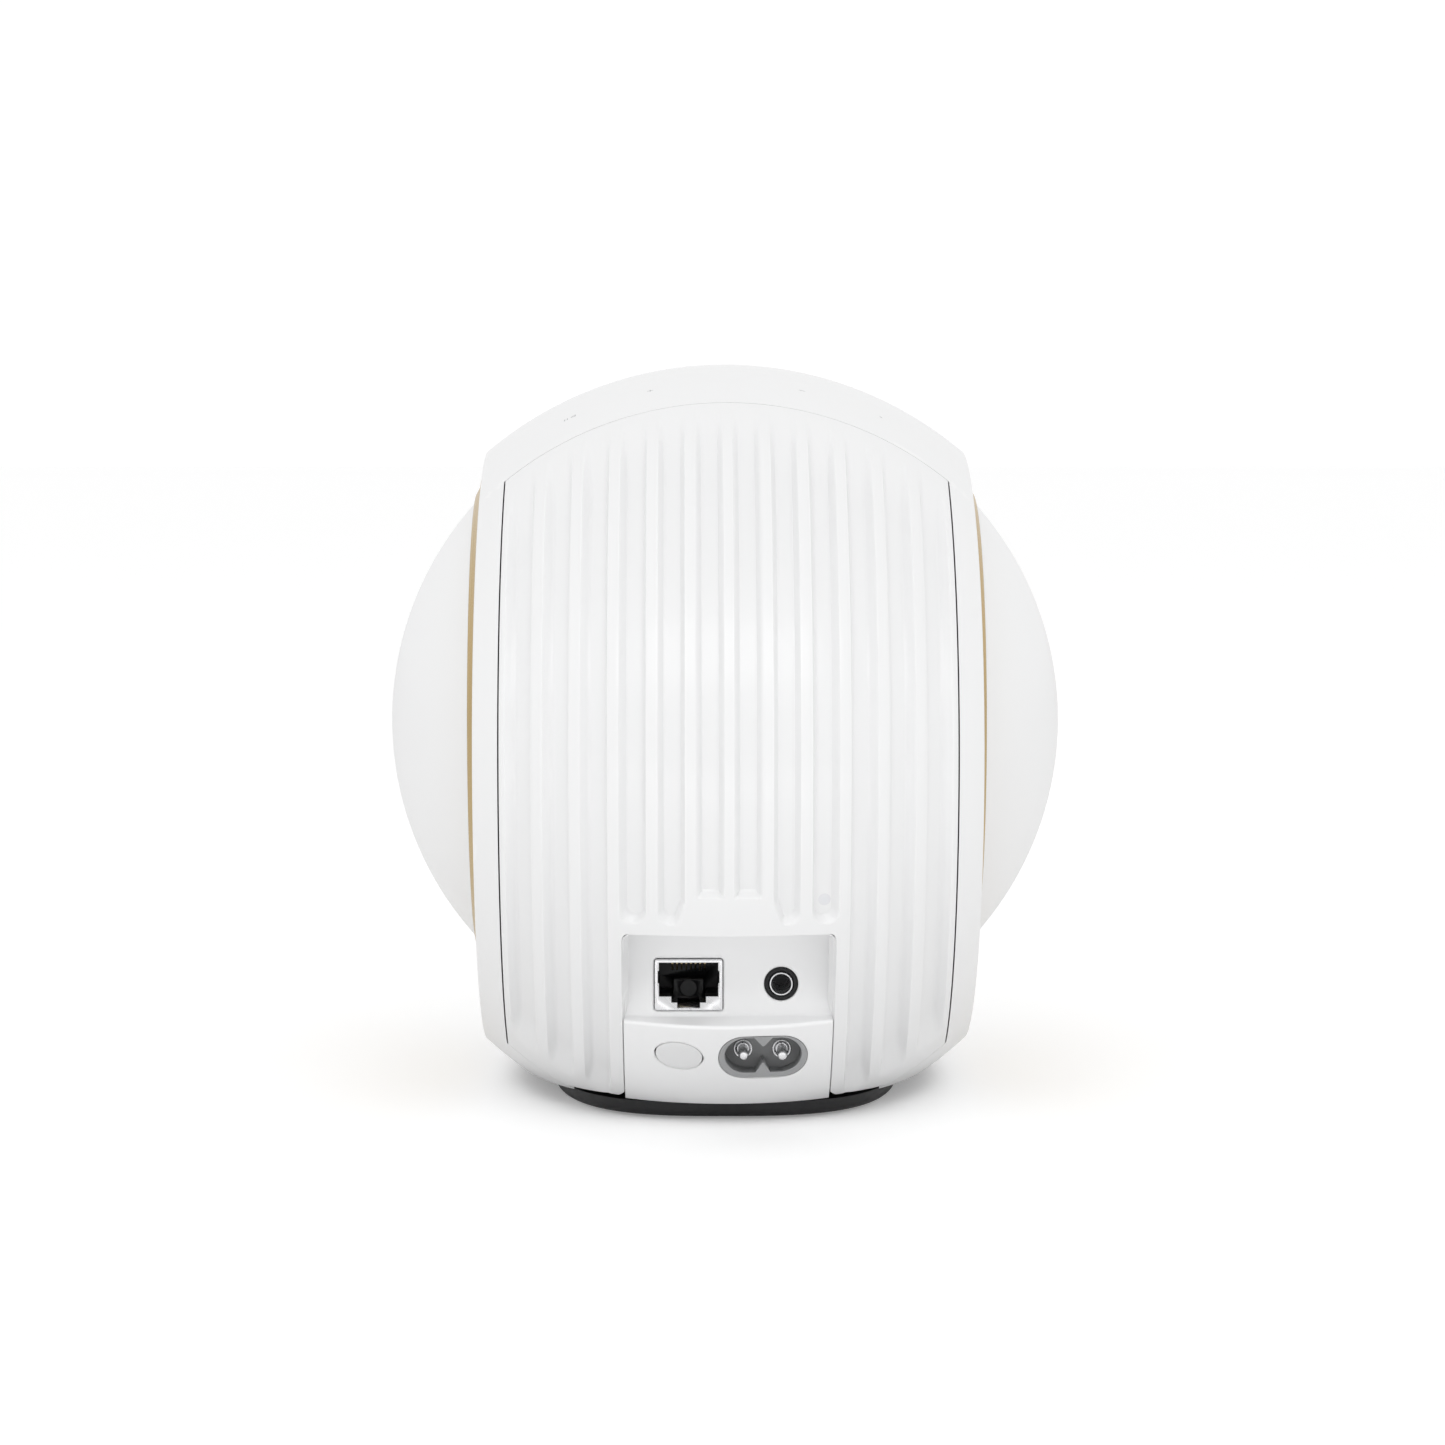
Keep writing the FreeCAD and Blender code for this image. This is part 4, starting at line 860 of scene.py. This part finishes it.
# Socket panel.
# A white moulding in the cover's opening. Its upper part is a deep niche with a flat back for
# the two data sockets, closed below by a soft ledge. Its lower part is flush with the cover
# and carries the mains inlet and the button.
def form_depth(x, z):
    """Distance of the outer form behind the middle plane."""
    reach = rise if z > axis_z else drop
    return half_depth * math.sqrt(max(0.0, 1 - (x / half_width) ** 2 - ((z - axis_z) / reach) ** 2))


def round_corner(a, b, c, radius, count):
    """Points of the arc that rounds the corner b between a and c."""
    a, b, c = (np.array(point, dtype=float) for point in (a, b, c))
    to_a = (a - b) / np.linalg.norm(a - b)
    to_c = (c - b) / np.linalg.norm(c - b)
    half = math.acos(max(-1.0, min(1.0, float(to_a @ to_c)))) / 2
    middle = (to_a + to_c) / np.linalg.norm(to_a + to_c)
    centre = b + middle * radius / math.sin(half)
    start = b + to_a * radius / math.tan(half) - centre
    end = b + to_c * radius / math.tan(half) - centre
    turn = math.pi - 2 * half
    return [tuple(centre + (start * math.sin(turn * (1 - t)) + end * math.sin(turn * t)) / math.sin(turn))
            for t in (i / count for i in range(count + 1))]


def loft(name, rings, closed=False, sharp=32):
    """Closed mesh through rings of equal length, capped at both ends or joined into a loop."""
    size = len(rings[0])
    points = [tuple(point) for ring in rings for point in ring]
    faces = []
    spans = len(rings) if closed else len(rings) - 1
    for k in range(spans):
        a, b = k * size, ((k + 1) % len(rings)) * size
        faces += [[a + i, a + (i + 1) % size, b + (i + 1) % size, b + i] for i in range(size)]
    if not closed:
        faces += [list(range(size))[::-1], [(len(rings) - 1) * size + i for i in range(size)]]
    mesh = bpy.data.meshes.new(name)
    mesh.from_pydata(points, [], faces)
    mesh.validate()
    return finish_mesh(name, mesh, sharp)


def round_outline(width, height, radius, steps=8):
    """Rounded rectangle about the origin, as (across, up) points."""
    points = []
    for sx, sz, start in ((1, 1, 0), (-1, 1, 90), (-1, -1, 180), (1, -1, 270)):
        corner = (sx * (width / 2 - radius), sz * (height / 2 - radius))
        points += arc(corner, radius, start, start + 90, steps)
    return points


def grown(points, distance):
    """Outline moved outwards by a distance. The points run anticlockwise."""
    moved = []
    for i, point in enumerate(points):
        near = (points[i - 1], point, points[(i + 1) % len(points)])
        before, here, after = (np.array(p, dtype=float) for p in near)
        one, two = here - before, after - here
        if np.linalg.norm(one) < 1e-9:
            one = two
        if np.linalg.norm(two) < 1e-9:
            two = one
        one = np.array((one[1], -one[0])) / np.linalg.norm(one)
        two = np.array((two[1], -two[0])) / np.linalg.norm(two)
        middle = one + two
        moved.append(tuple(here + middle * distance * 2 / (middle @ middle)))
    return moved


def prism(name, outline, centre, levels, depth=None):
    """Bar along Y. levels holds (distance along Y, growth of the outline) pairs; with depth,
    the distance counts from a surface that depth(x, z) gives."""
    rings = []
    for level, growth in levels:
        ring = []
        for across, up in grown(outline, growth):
            x, z = centre[0] + across, centre[1] + up
            ring.append((x, level + (depth(x, z) if depth else 0.0), z))
        rings.append(ring)
    return loft(name, rings)


net_low, net_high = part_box("network_socket_shield")
net_x = (net_low[0] + net_high[0]) / 2
net_z = (net_low[2] + net_high[2]) / 2
net_width = net_high[0] - net_low[0]
net_height = net_high[2] - net_low[2]
jack_low, jack_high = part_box("audio_socket_bushing")
jack_x = (jack_low[0] + jack_high[0]) / 2
jack_z = (jack_low[2] + jack_high[2]) / 2
inlet_low, inlet_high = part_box("mains_inlet_body")
inlet_x = (inlet_low[0] + inlet_high[0]) / 2
inlet_z = (inlet_low[2] + inlet_high[2]) / 2
inlet_width = inlet_high[0] - inlet_low[0]
inlet_height = inlet_high[2] - inlet_low[2]
net_proud = 0.3 * mm
back_y = net_high[1] - net_proud
ledge_back_z = 27.6 * mm
ledge_slope = 0.2
button_x = 10.9 * mm
button_z = 18.2 * mm
button_radius = 5.2 * mm
button_place = Vector((button_x, form_depth(button_x, button_z), button_z))
button_out = Vector(tuple(form_normal(*button_place)))
button_side = button_out.cross(Vector((0, 0, 1))).normalized()
button_up = button_side.cross(button_out)


def panel_row(x):
    """(outer, inner) pairs down the panel at x: niche back, ledge, sloped face."""
    edge_y = back_y
    for _ in range(30):
        edge_z = ledge_back_z - ledge_slope * (edge_y - back_y)
        edge_y = form_depth(x, edge_z)
    face_z = [edge_z - 1.4 * mm + (mouth_z - edge_z + 1.4 * mm) * i / 46 for i in range(47)]
    face = [(form_depth(x, z), z) for z in face_z]
    under_z = [edge_z - 2.0 * mm + (mouth_z - edge_z + 2.0 * mm) * i / 46 for i in range(47)]
    under = [(form_depth(x, z) - 1.8 * mm, z) for z in under_z]
    lines = []
    top_z = panel_top - 0.2 * mm
    for top, turn, tip, low, soft, crisp in (
            ((back_y, top_z), (back_y, ledge_back_z), (edge_y, edge_z), face, 0.9 * mm, 0.6 * mm),
            ((back_y - 1.5 * mm, top_z), (back_y - 1.5 * mm, ledge_back_z - 1.4 * mm),
             (max(edge_y - 2.5 * mm, back_y - 0.9 * mm), edge_z - 1.2 * mm), under, 0.2 * mm, 0.1 * mm)):
        line = [(top[0], top[1] + (turn[1] + soft * 1.4 - top[1]) * i / 20) for i in range(21)]
        line += round_corner(top, turn, tip, soft, 10)
        line += round_corner(turn, tip, low[0], crisp, 8)
        lines.append([(x, y, z) for y, z in line + low])
    return list(zip(*lines))


panel_reach = panel_half - 0.12 * mm
panel_sheet = Sheet()
panel_sheet.grid([panel_row(x) for x in spread(-panel_reach, panel_reach, 0.5 * mm)])
panel = panel_sheet.solid("socket_panel", 0.25 * mm)
wall = 0.3 * mm
wall_foot_z = 26.3 * mm
wall_path = [(panel_reach, wall_foot_z), (panel_reach, panel_top - panel_corner)]
wall_path += arc((panel_reach - panel_corner, panel_top - panel_corner), panel_corner, 0, 90, 8)[1:]
wall_path += [(-x, z) for x, z in wall_path[::-1]]
wall_sheet = Sheet()
wall_rows = []
for i, (x, z) in enumerate(wall_path):
    before, after = wall_path[max(i - 1, 0)], wall_path[min(i + 1, len(wall_path) - 1)]
    out = np.array((after[1] - before[1], before[0] - after[0]))
    out = out / np.linalg.norm(out)
    row = []
    for share in (i / 10 for i in range(11)):
        pair = []
        for inset in (0.0, wall):
            px, pz = x - out[0] * inset, z - out[1] * inset
            front = form_depth(px, pz) - 1.3 * mm
            pair.append((px, front + (back_y - 0.7 * mm - front) * share, pz))
        row.append(tuple(pair))
    wall_rows.append(row)
wall_sheet.grid(wall_rows)
carve(panel, wall_sheet.solid("niche_wall", 0.12 * mm), "UNION")
net_hole = round_outline(net_width + 0.3 * mm, net_height + 0.3 * mm, 0.7 * mm)
carve(panel, prism("hole_tool", net_hole, (net_x, net_z),
                   ((back_y + 2 * mm, 0.35 * mm), (back_y + 0.01 * mm, 0.35 * mm),
                    (back_y - 0.2 * mm, 0.12 * mm), (back_y - 0.45 * mm, 0.0), (back_y - 6 * mm, 0.0))))
jack_hole = round_outline(7.5 * mm, 7.5 * mm, 3.749 * mm, 14)
carve(panel, prism("hole_tool", jack_hole, (jack_x, jack_z),
                   ((back_y + 2 * mm, 0.2 * mm), (back_y + 0.01 * mm, 0.2 * mm), (back_y - 0.2 * mm, 0.0),
                    (back_y - 6 * mm, 0.0))))
inlet_hole = round_outline(inlet_width + 0.16 * mm, inlet_height + 0.16 * mm, inlet_height / 2, 14)
carve(panel, prism("hole_tool", inlet_hole, (inlet_x, inlet_z),
                   ((3 * mm, 0.15 * mm), (0.01 * mm, 0.15 * mm), (-0.2 * mm, 0.0), (-9 * mm, 0.0)),
                   form_depth))
button_spokes = [button_side * math.cos(turn) + button_up * math.sin(turn)
                 for turn in (2 * math.pi * i / 64 for i in range(64))]
button_rings = []
for depth, radius in ((2.0, 5.56), (0.1, 5.62), (-0.12, 5.52), (-5.0, 5.52)):
    middle = button_place + button_out * (depth * mm)
    button_rings.append([tuple(middle + spoke * (radius * mm)) for spoke in button_spokes])
carve(panel, loft("hole_tool", button_rings))
panel_plastic = painted("panel_plastic", (0.91, 0.912, 0.915), (0.88, 0.88, 0.88), 0.38, 1400.0, 0.006 * mm,
                        0.02, 0.15)
fit_out(panel, panel_plastic, "housing", "io_panel")

# Network socket.
# A nickel-plated shield round a black moulding. The opening steps in twice towards the
# bottom for the plug's latch, and eight sprung contacts slant down from its roof.
shield_top = net_height / 2 - 0.75 * mm


def stepped_outline(trim=0.0):
    """The opening's outline, anticlockwise from its lower left, with a notch in each side."""
    half, step, latch = 6.5 * mm - trim, 3.8 * mm - trim, 2.5 * mm - trim
    low = shield_top - 7.5 * mm + trim
    left = [(-latch, low - 2.7 * mm), (-latch, low - 1.35 * mm), (-step, low - 1.35 * mm), (-step, low),
            (-half, low), (-half, low + 2.9 * mm), (-half - 0.25 * mm, low + 3.0 * mm),
            (-half - 0.25 * mm, low + 5.6 * mm),
            (-half, low + 5.7 * mm), (-half, shield_top - trim)]
    return ([(-x, z) for x, z in left] + left[::-1])


metal_bright = spun("plated_steel", (0.86, 0.86, 0.87), (0.74, 0.74, 0.75), 0.22, 900.0, 0.002 * mm)
socket_black = painted("socket_black", (0.01, 0.01, 0.011), (0.025, 0.025, 0.026), 0.4, 1900.0, 0.006 * mm,
                       0.05, 0.1, 0.2)
shield_front = net_high[1]
shield = prism("network_shield", round_outline(net_width, net_height, 0.55 * mm), (net_x, net_z),
               ((net_low[1], 0.0), (shield_front - 0.2 * mm, 0.0), (shield_front - 0.06 * mm, -0.06 * mm),
                (shield_front, -0.2 * mm)))
carve(shield, prism("hole_tool", stepped_outline(), (net_x, net_z),
                    ((shield_front + 1 * mm, 0.12 * mm), (shield_front + 0.01 * mm, 0.12 * mm),
                     (shield_front - 0.12 * mm, 0.0), (shield_front - 0.5 * mm, 0.0))))
shield_inside = round_outline(net_width - 1 * mm, net_height - 1 * mm, 0.2 * mm)
carve(shield, prism("hole_tool", shield_inside, (net_x, net_z),
                    ((net_low[1] - 1 * mm, 0.0), (shield_front - 0.35 * mm, 0.0))))
insert_outline = round_outline(net_width - 1.2 * mm, net_height - 1.2 * mm, 0.2 * mm)
insert = prism("network_insert", insert_outline, (net_x, net_z),
               ((net_low[1] + 0.1 * mm, 0.0), (shield_front - 0.4 * mm, 0.0)))
carve(insert, prism("hole_tool", stepped_outline(0.08 * mm), (net_x, net_z),
                    ((shield_front - 12 * mm, 0.0), (shield_front + 1 * mm, 0.0))))
carve(insert, prism("join_tool", round_outline(6.8 * mm, 4.6 * mm, 0.3 * mm), (net_x, net_z - 2.2 * mm),
                    ((shield_front - 13 * mm, 0.0), (shield_front - 8.2 * mm, 0.0),
                     (shield_front - 8.0 * mm, -0.2 * mm))), "UNION")
dimple = round_outline(3.6 * mm, 3.6 * mm, 1.799 * mm, 10)
carve(insert, prism("hole_tool", dimple, (net_x, net_z - 2.0 * mm),
                    ((shield_front - 8.2 * mm, 0.0), (shield_front - 7 * mm, 0.0))))
contact_gold = spun("contact_gold", (0.66, 0.53, 0.31), (0.42, 0.34, 0.21), 0.3, 3000.0, 0.001 * mm)
contact_rows = []
contact_pitch = 1.016 * mm
roof = net_z + shield_top - 0.12 * mm
for i in range(8):
    x = net_x + (i - 3.5) * contact_pitch
    path = [(-1.5, 0.0), (-1.9, -0.12), (-2.4, -0.35), (-9.2, -2.5), (-9.5, -2.68)]
    rings = []
    for y, z in path:
        rings.append([(x + a * 0.2 * mm, shield_front + y * mm, roof + z * mm + b * 0.14 * mm - 0.14 * mm)
                      for a, b in ((-1, -1), (1, -1), (1, 1), (-1, 1))])
    contact_rows.append(loft("contact", rings))


def joined(name, pieces):
    """One object from several."""
    with bpy.context.temp_override(active_object=pieces[0], selected_editable_objects=pieces):
        bpy.ops.object.join()
    pieces[0].name = name
    return pieces[0]


contacts = joined("network_contacts", contact_rows)
fit_out(shield, metal_bright, "housing", "network_socket_shield")
fit_out(insert, socket_black, "housing", "network_socket_insert")
fit_out(contacts, contact_gold, "housing", "network_socket_contacts")

# Audio socket.
# A gloss black collar, moulded in one with the body behind it, round a thin plated bushing
# that funnels into the bore.
collar_low, collar_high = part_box("audio_socket_body")
collar_back, collar_front = collar_low[1], collar_high[1]
collar_profile = [(0.0, collar_back), (3.65 * mm, collar_back), (3.65 * mm, collar_front - 0.25 * mm)]
collar_profile += arc((3.4 * mm, collar_front - 0.25 * mm), 0.25 * mm, 0, 90, 5)[1:]
collar_profile += [(2.9 * mm, collar_front - 0.02 * mm), (2.65 * mm, collar_front - 0.22 * mm),
                   (2.62 * mm, collar_front - 9 * mm), (0.0, collar_front - 9 * mm)]
collar = turned("audio_collar", collar_profile, (jack_x, 0, jack_z), (0, 1, 0), 96)
bush_profile = [(2.55 * mm, jack_low[1]), (2.55 * mm, jack_high[1] - 0.17 * mm)]
bush_profile += arc((2.38 * mm, jack_high[1] - 0.17 * mm), 0.17 * mm, 0, 180, 8)
bush_profile += [(2.12 * mm, jack_high[1] - 0.5 * mm), (1.95 * mm, jack_high[1] - 1.4 * mm),
                 (1.78 * mm, jack_high[1] - 1.9 * mm), (1.78 * mm, jack_low[1])]
bush = turned("audio_bushing", bush_profile, (jack_x, 0, jack_z), (0, 1, 0), 96)
fit_out(collar, socket_black, "housing", "audio_socket_body")
fit_out(bush, metal_bright, "housing", "audio_socket_bushing")

# Mains inlet.
# A grey moulding cut to the slope of the face. Two keys narrow the waist of its recess, and
# the two round pins stand on plated collars at the bottom.
pin_length = 8.5 * mm
pin_pitch = 8.6 * mm
pin_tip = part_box("mains_inlet_pins")[1][1]
recess_floor = pin_tip - pin_length
recess_up = 0.55 * mm
recess_radius = 4.7 * mm
recess_reach = 3.8 * mm


def inlet_outlines():
    """Matching outlines of the recess and of the moulding, (across, up) about the middle."""
    recess, rim = [], []
    out_radius = inlet_height / 2
    out_reach = inlet_width / 2 - out_radius
    for side, start in ((1, -90), (-1, 90)):
        for turn in spread(start, start + 180, 6):
            cos, sin = math.cos(math.radians(turn)), math.sin(math.radians(turn))
            recess.append((side * recess_reach + recess_radius * cos, recess_up + recess_radius * sin))
            rim.append((side * out_reach + out_radius * cos, out_radius * sin))
        edge = side * recess_radius
        tall, half = (2.2 * mm, 2.1 * mm) if side > 0 else (-2.7 * mm, 1.7 * mm)
        for across, dip in ((half, 0.0), (half * 0.94, 0.03), (0.2 * mm, 0.97), (0.0, 1.0), (-0.2 * mm, 0.97),
                            (-half * 0.94, 0.03), (-half, 0.0)):
            recess.append((side * across, recess_up + edge - tall * dip))
            rim.append((side * across * 1.2, side * out_radius))
    return recess, rim


recess, rim = inlet_outlines()
inlet_back = inlet_low[1]
inlet_rings = []
for points, level, growth in ((rim, None, 0.0), (rim, -0.14, 0.0), (rim, -0.04, -0.05), (rim, 0.0, -0.16),
                              (recess, 0.0, 0.14), (recess, -0.05, 0.04), (recess, -0.18, 0.0),
                              (recess, recess_floor, 0.0)):
    ring = []
    for across, up in grown(points, growth * mm):
        x, z = inlet_x + across, inlet_z + up
        if level is None:
            y = inlet_back
        elif level == recess_floor:
            y = recess_floor
        else:
            y = form_depth(x, z) + level * mm
        ring.append((x, y, z))
    inlet_rings.append(ring)
inlet = loft("mains_inlet", inlet_rings)
inlet_grey = painted("inlet_grey", (0.34, 0.345, 0.35), (0.4, 0.4, 0.405), 0.42, 1500.0, 0.008 * mm, 0.04)
fit_out(inlet, inlet_grey, "housing", "mains_inlet_body")
pin_pieces = []
pin_radius = 1.15 * mm
for side in (-1, 1):
    profile = [(0.0, inlet_back), (pin_radius, inlet_back), (pin_radius, recess_floor + 0.02 * mm),
               (2.1 * mm, recess_floor + 0.02 * mm), (2.1 * mm, recess_floor + 0.45 * mm)]
    profile += arc((1.95 * mm, recess_floor + 0.45 * mm), 0.15 * mm, 0, 90, 4)[1:]
    profile += [(1.6 * mm, recess_floor + 0.5 * mm), (1.3 * mm, recess_floor + 0.25 * mm),
                (pin_radius, recess_floor + 0.25 * mm), (pin_radius, pin_tip - 0.75 * mm)]
    profile += arc((pin_radius - 0.75 * mm, pin_tip - 0.75 * mm), 0.75 * mm, 0, 90, 8)[1:] + [(0.0, pin_tip)]
    pin_pieces.append(turned("pin", profile, (inlet_x + side * pin_pitch / 2, 0, inlet_z), (0, 1, 0), 48))
fit_out(joined("mains_pins", pin_pieces), metal_bright, "housing", "mains_inlet_pins")

# Pairing button.
# A round light grey key whose face continues the slope of the panel. A fine dark gap runs
# round it.
key_length = 4.1 * mm
key_foot = button_place - button_out * key_length
key_rings = [[key_foot + spoke * (button_radius - 0.1 * mm) for spoke in button_spokes]]
for radius, sink in ((5.2, 0.6), (5.2, 0.2), (5.14, 0.06), (5.0, 0.0), (3.6, 0.0), (2.0, 0.0), (0.6, 0.0)):
    ring = []
    for spoke in button_spokes:
        place = button_place + spoke * (radius * mm)
        for _ in range(6):
            place += button_out * ((form_depth(place.x, place.z) - place.y) * button_out.y)
        ring.append(place - button_out * (sink * mm))
    key_rings.append(ring)
key = loft("button_key", key_rings)
button_grey = painted("button_grey", (0.80, 0.802, 0.805), (0.84, 0.84, 0.84), 0.34, 2200.0, 0.005 * mm,
                      0.02, 0.1)
fit_out(key, button_grey, "pairing_button", "pairing_button")

# Foot.
# A dark grey oval moulding, tucked in under the belly, with a thin rubber pad that just
# shows underneath.
foot_plastic = painted("foot_plastic", (0.018, 0.018, 0.019), (0.04, 0.04, 0.042), 0.45, 1300.0, 0.01 * mm,
                       0.05, specular=0.3)
dress("foot_base", foot_plastic)
dress("foot_pad", rubber)

# Front grille, trim ring and driver.
# A disc of perforated steel follows the curve of the front inside a brushed metal ring. The
# small driver behind it shows only through the holes.
grille_metal = painted("grille_metal", (0.78, 0.78, 0.785), (0.85, 0.85, 0.85), 0.42, 1500.0, 0.006 * mm)
dress("front_grille", grille_metal)
dress("front_trim_ring", gold)
paper = painted("pressed_paper", (0.03, 0.03, 0.031), (0.05, 0.05, 0.05), 0.8, 900.0, 0.03 * mm, 0.1)
soft_low, soft_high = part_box("front_driver_surround")
front_land = (soft_high[0] - soft_low[0]) / 2
front_profile = fold_profile(23.9 * mm, 25.9 * mm, 28.9 * mm, front_land,
                             -soft_low[1], -soft_high[1] + 0.5 * mm, 0.5 * mm)
front_surround = turned("front_surround", front_profile, (0, 0, woofer_z), (0, -1, 0), 128)
front_surround.data.materials.append(rubber)
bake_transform(front_surround)
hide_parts("front_driver_surround")

# Inside.
# Pressed steel, cast frames, copper windings, green boards and their parts, none of which
# shows from outside.
cast = painted("cast_metal", (0.32, 0.325, 0.33), (0.45, 0.45, 0.45), 0.5, 1200.0, 0.03 * mm, 0.08)
steel = spun("zinc_steel", (0.62, 0.62, 0.63), (0.45, 0.45, 0.46), 0.3, 700.0, 0.004 * mm)
screws = spun("screw_steel", (0.5, 0.5, 0.51), (0.36, 0.36, 0.37), 0.28, 1800.0, 0.004 * mm)
ferrite = painted("ferrite", (0.06, 0.06, 0.065), (0.09, 0.09, 0.095), 0.7, 2200.0, 0.02 * mm, 0.1)
winding = spun("copper_winding", (0.78, 0.38, 0.2), (0.45, 0.2, 0.1), 0.34, 4200.0, 0.05 * mm)
green = painted("board_green", (0.03, 0.16, 0.07), (0.06, 0.24, 0.1), 0.36, 700.0, 0.02 * mm, 0.15)
chip = painted("chip_black", (0.02, 0.02, 0.022), (0.05, 0.05, 0.05), 0.5, 2600.0, 0.006 * mm, 0.08)
film = painted("amber_film", (0.42, 0.22, 0.05), (0.5, 0.28, 0.08), 0.32, 1200.0, 0.004 * mm, 0.1)
inner_finish = {
    cast: ("woofer_basket", "heat_spreader", "chassis_barrel", "front_driver_basket"),
    steel: ("woofer_yoke", "woofer_pole_plate", "front_driver_magnet"),
    screws: ("control_board_screws", "amplifier_board_screws", "foot_screws"),
    ferrite: ("woofer_magnet",),
    winding: ("woofer_coil", "front_driver_coil"),
    paper: ("woofer_cone", "woofer_spider", "woofer_former", "front_driver_cone"),
    green: ("io_board", "button_board", "power_board", "amplifier_board", "control_board", "antenna_board"),
    chip: ("power_components", "amplifier_chips", "button_switch"),
    film: ("touch_sensor",),
}
for material, names in inner_finish.items():
    for name in names:
        for node in (name, "left_" + name, "right_" + name):
            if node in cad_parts:
                dress(node, material)
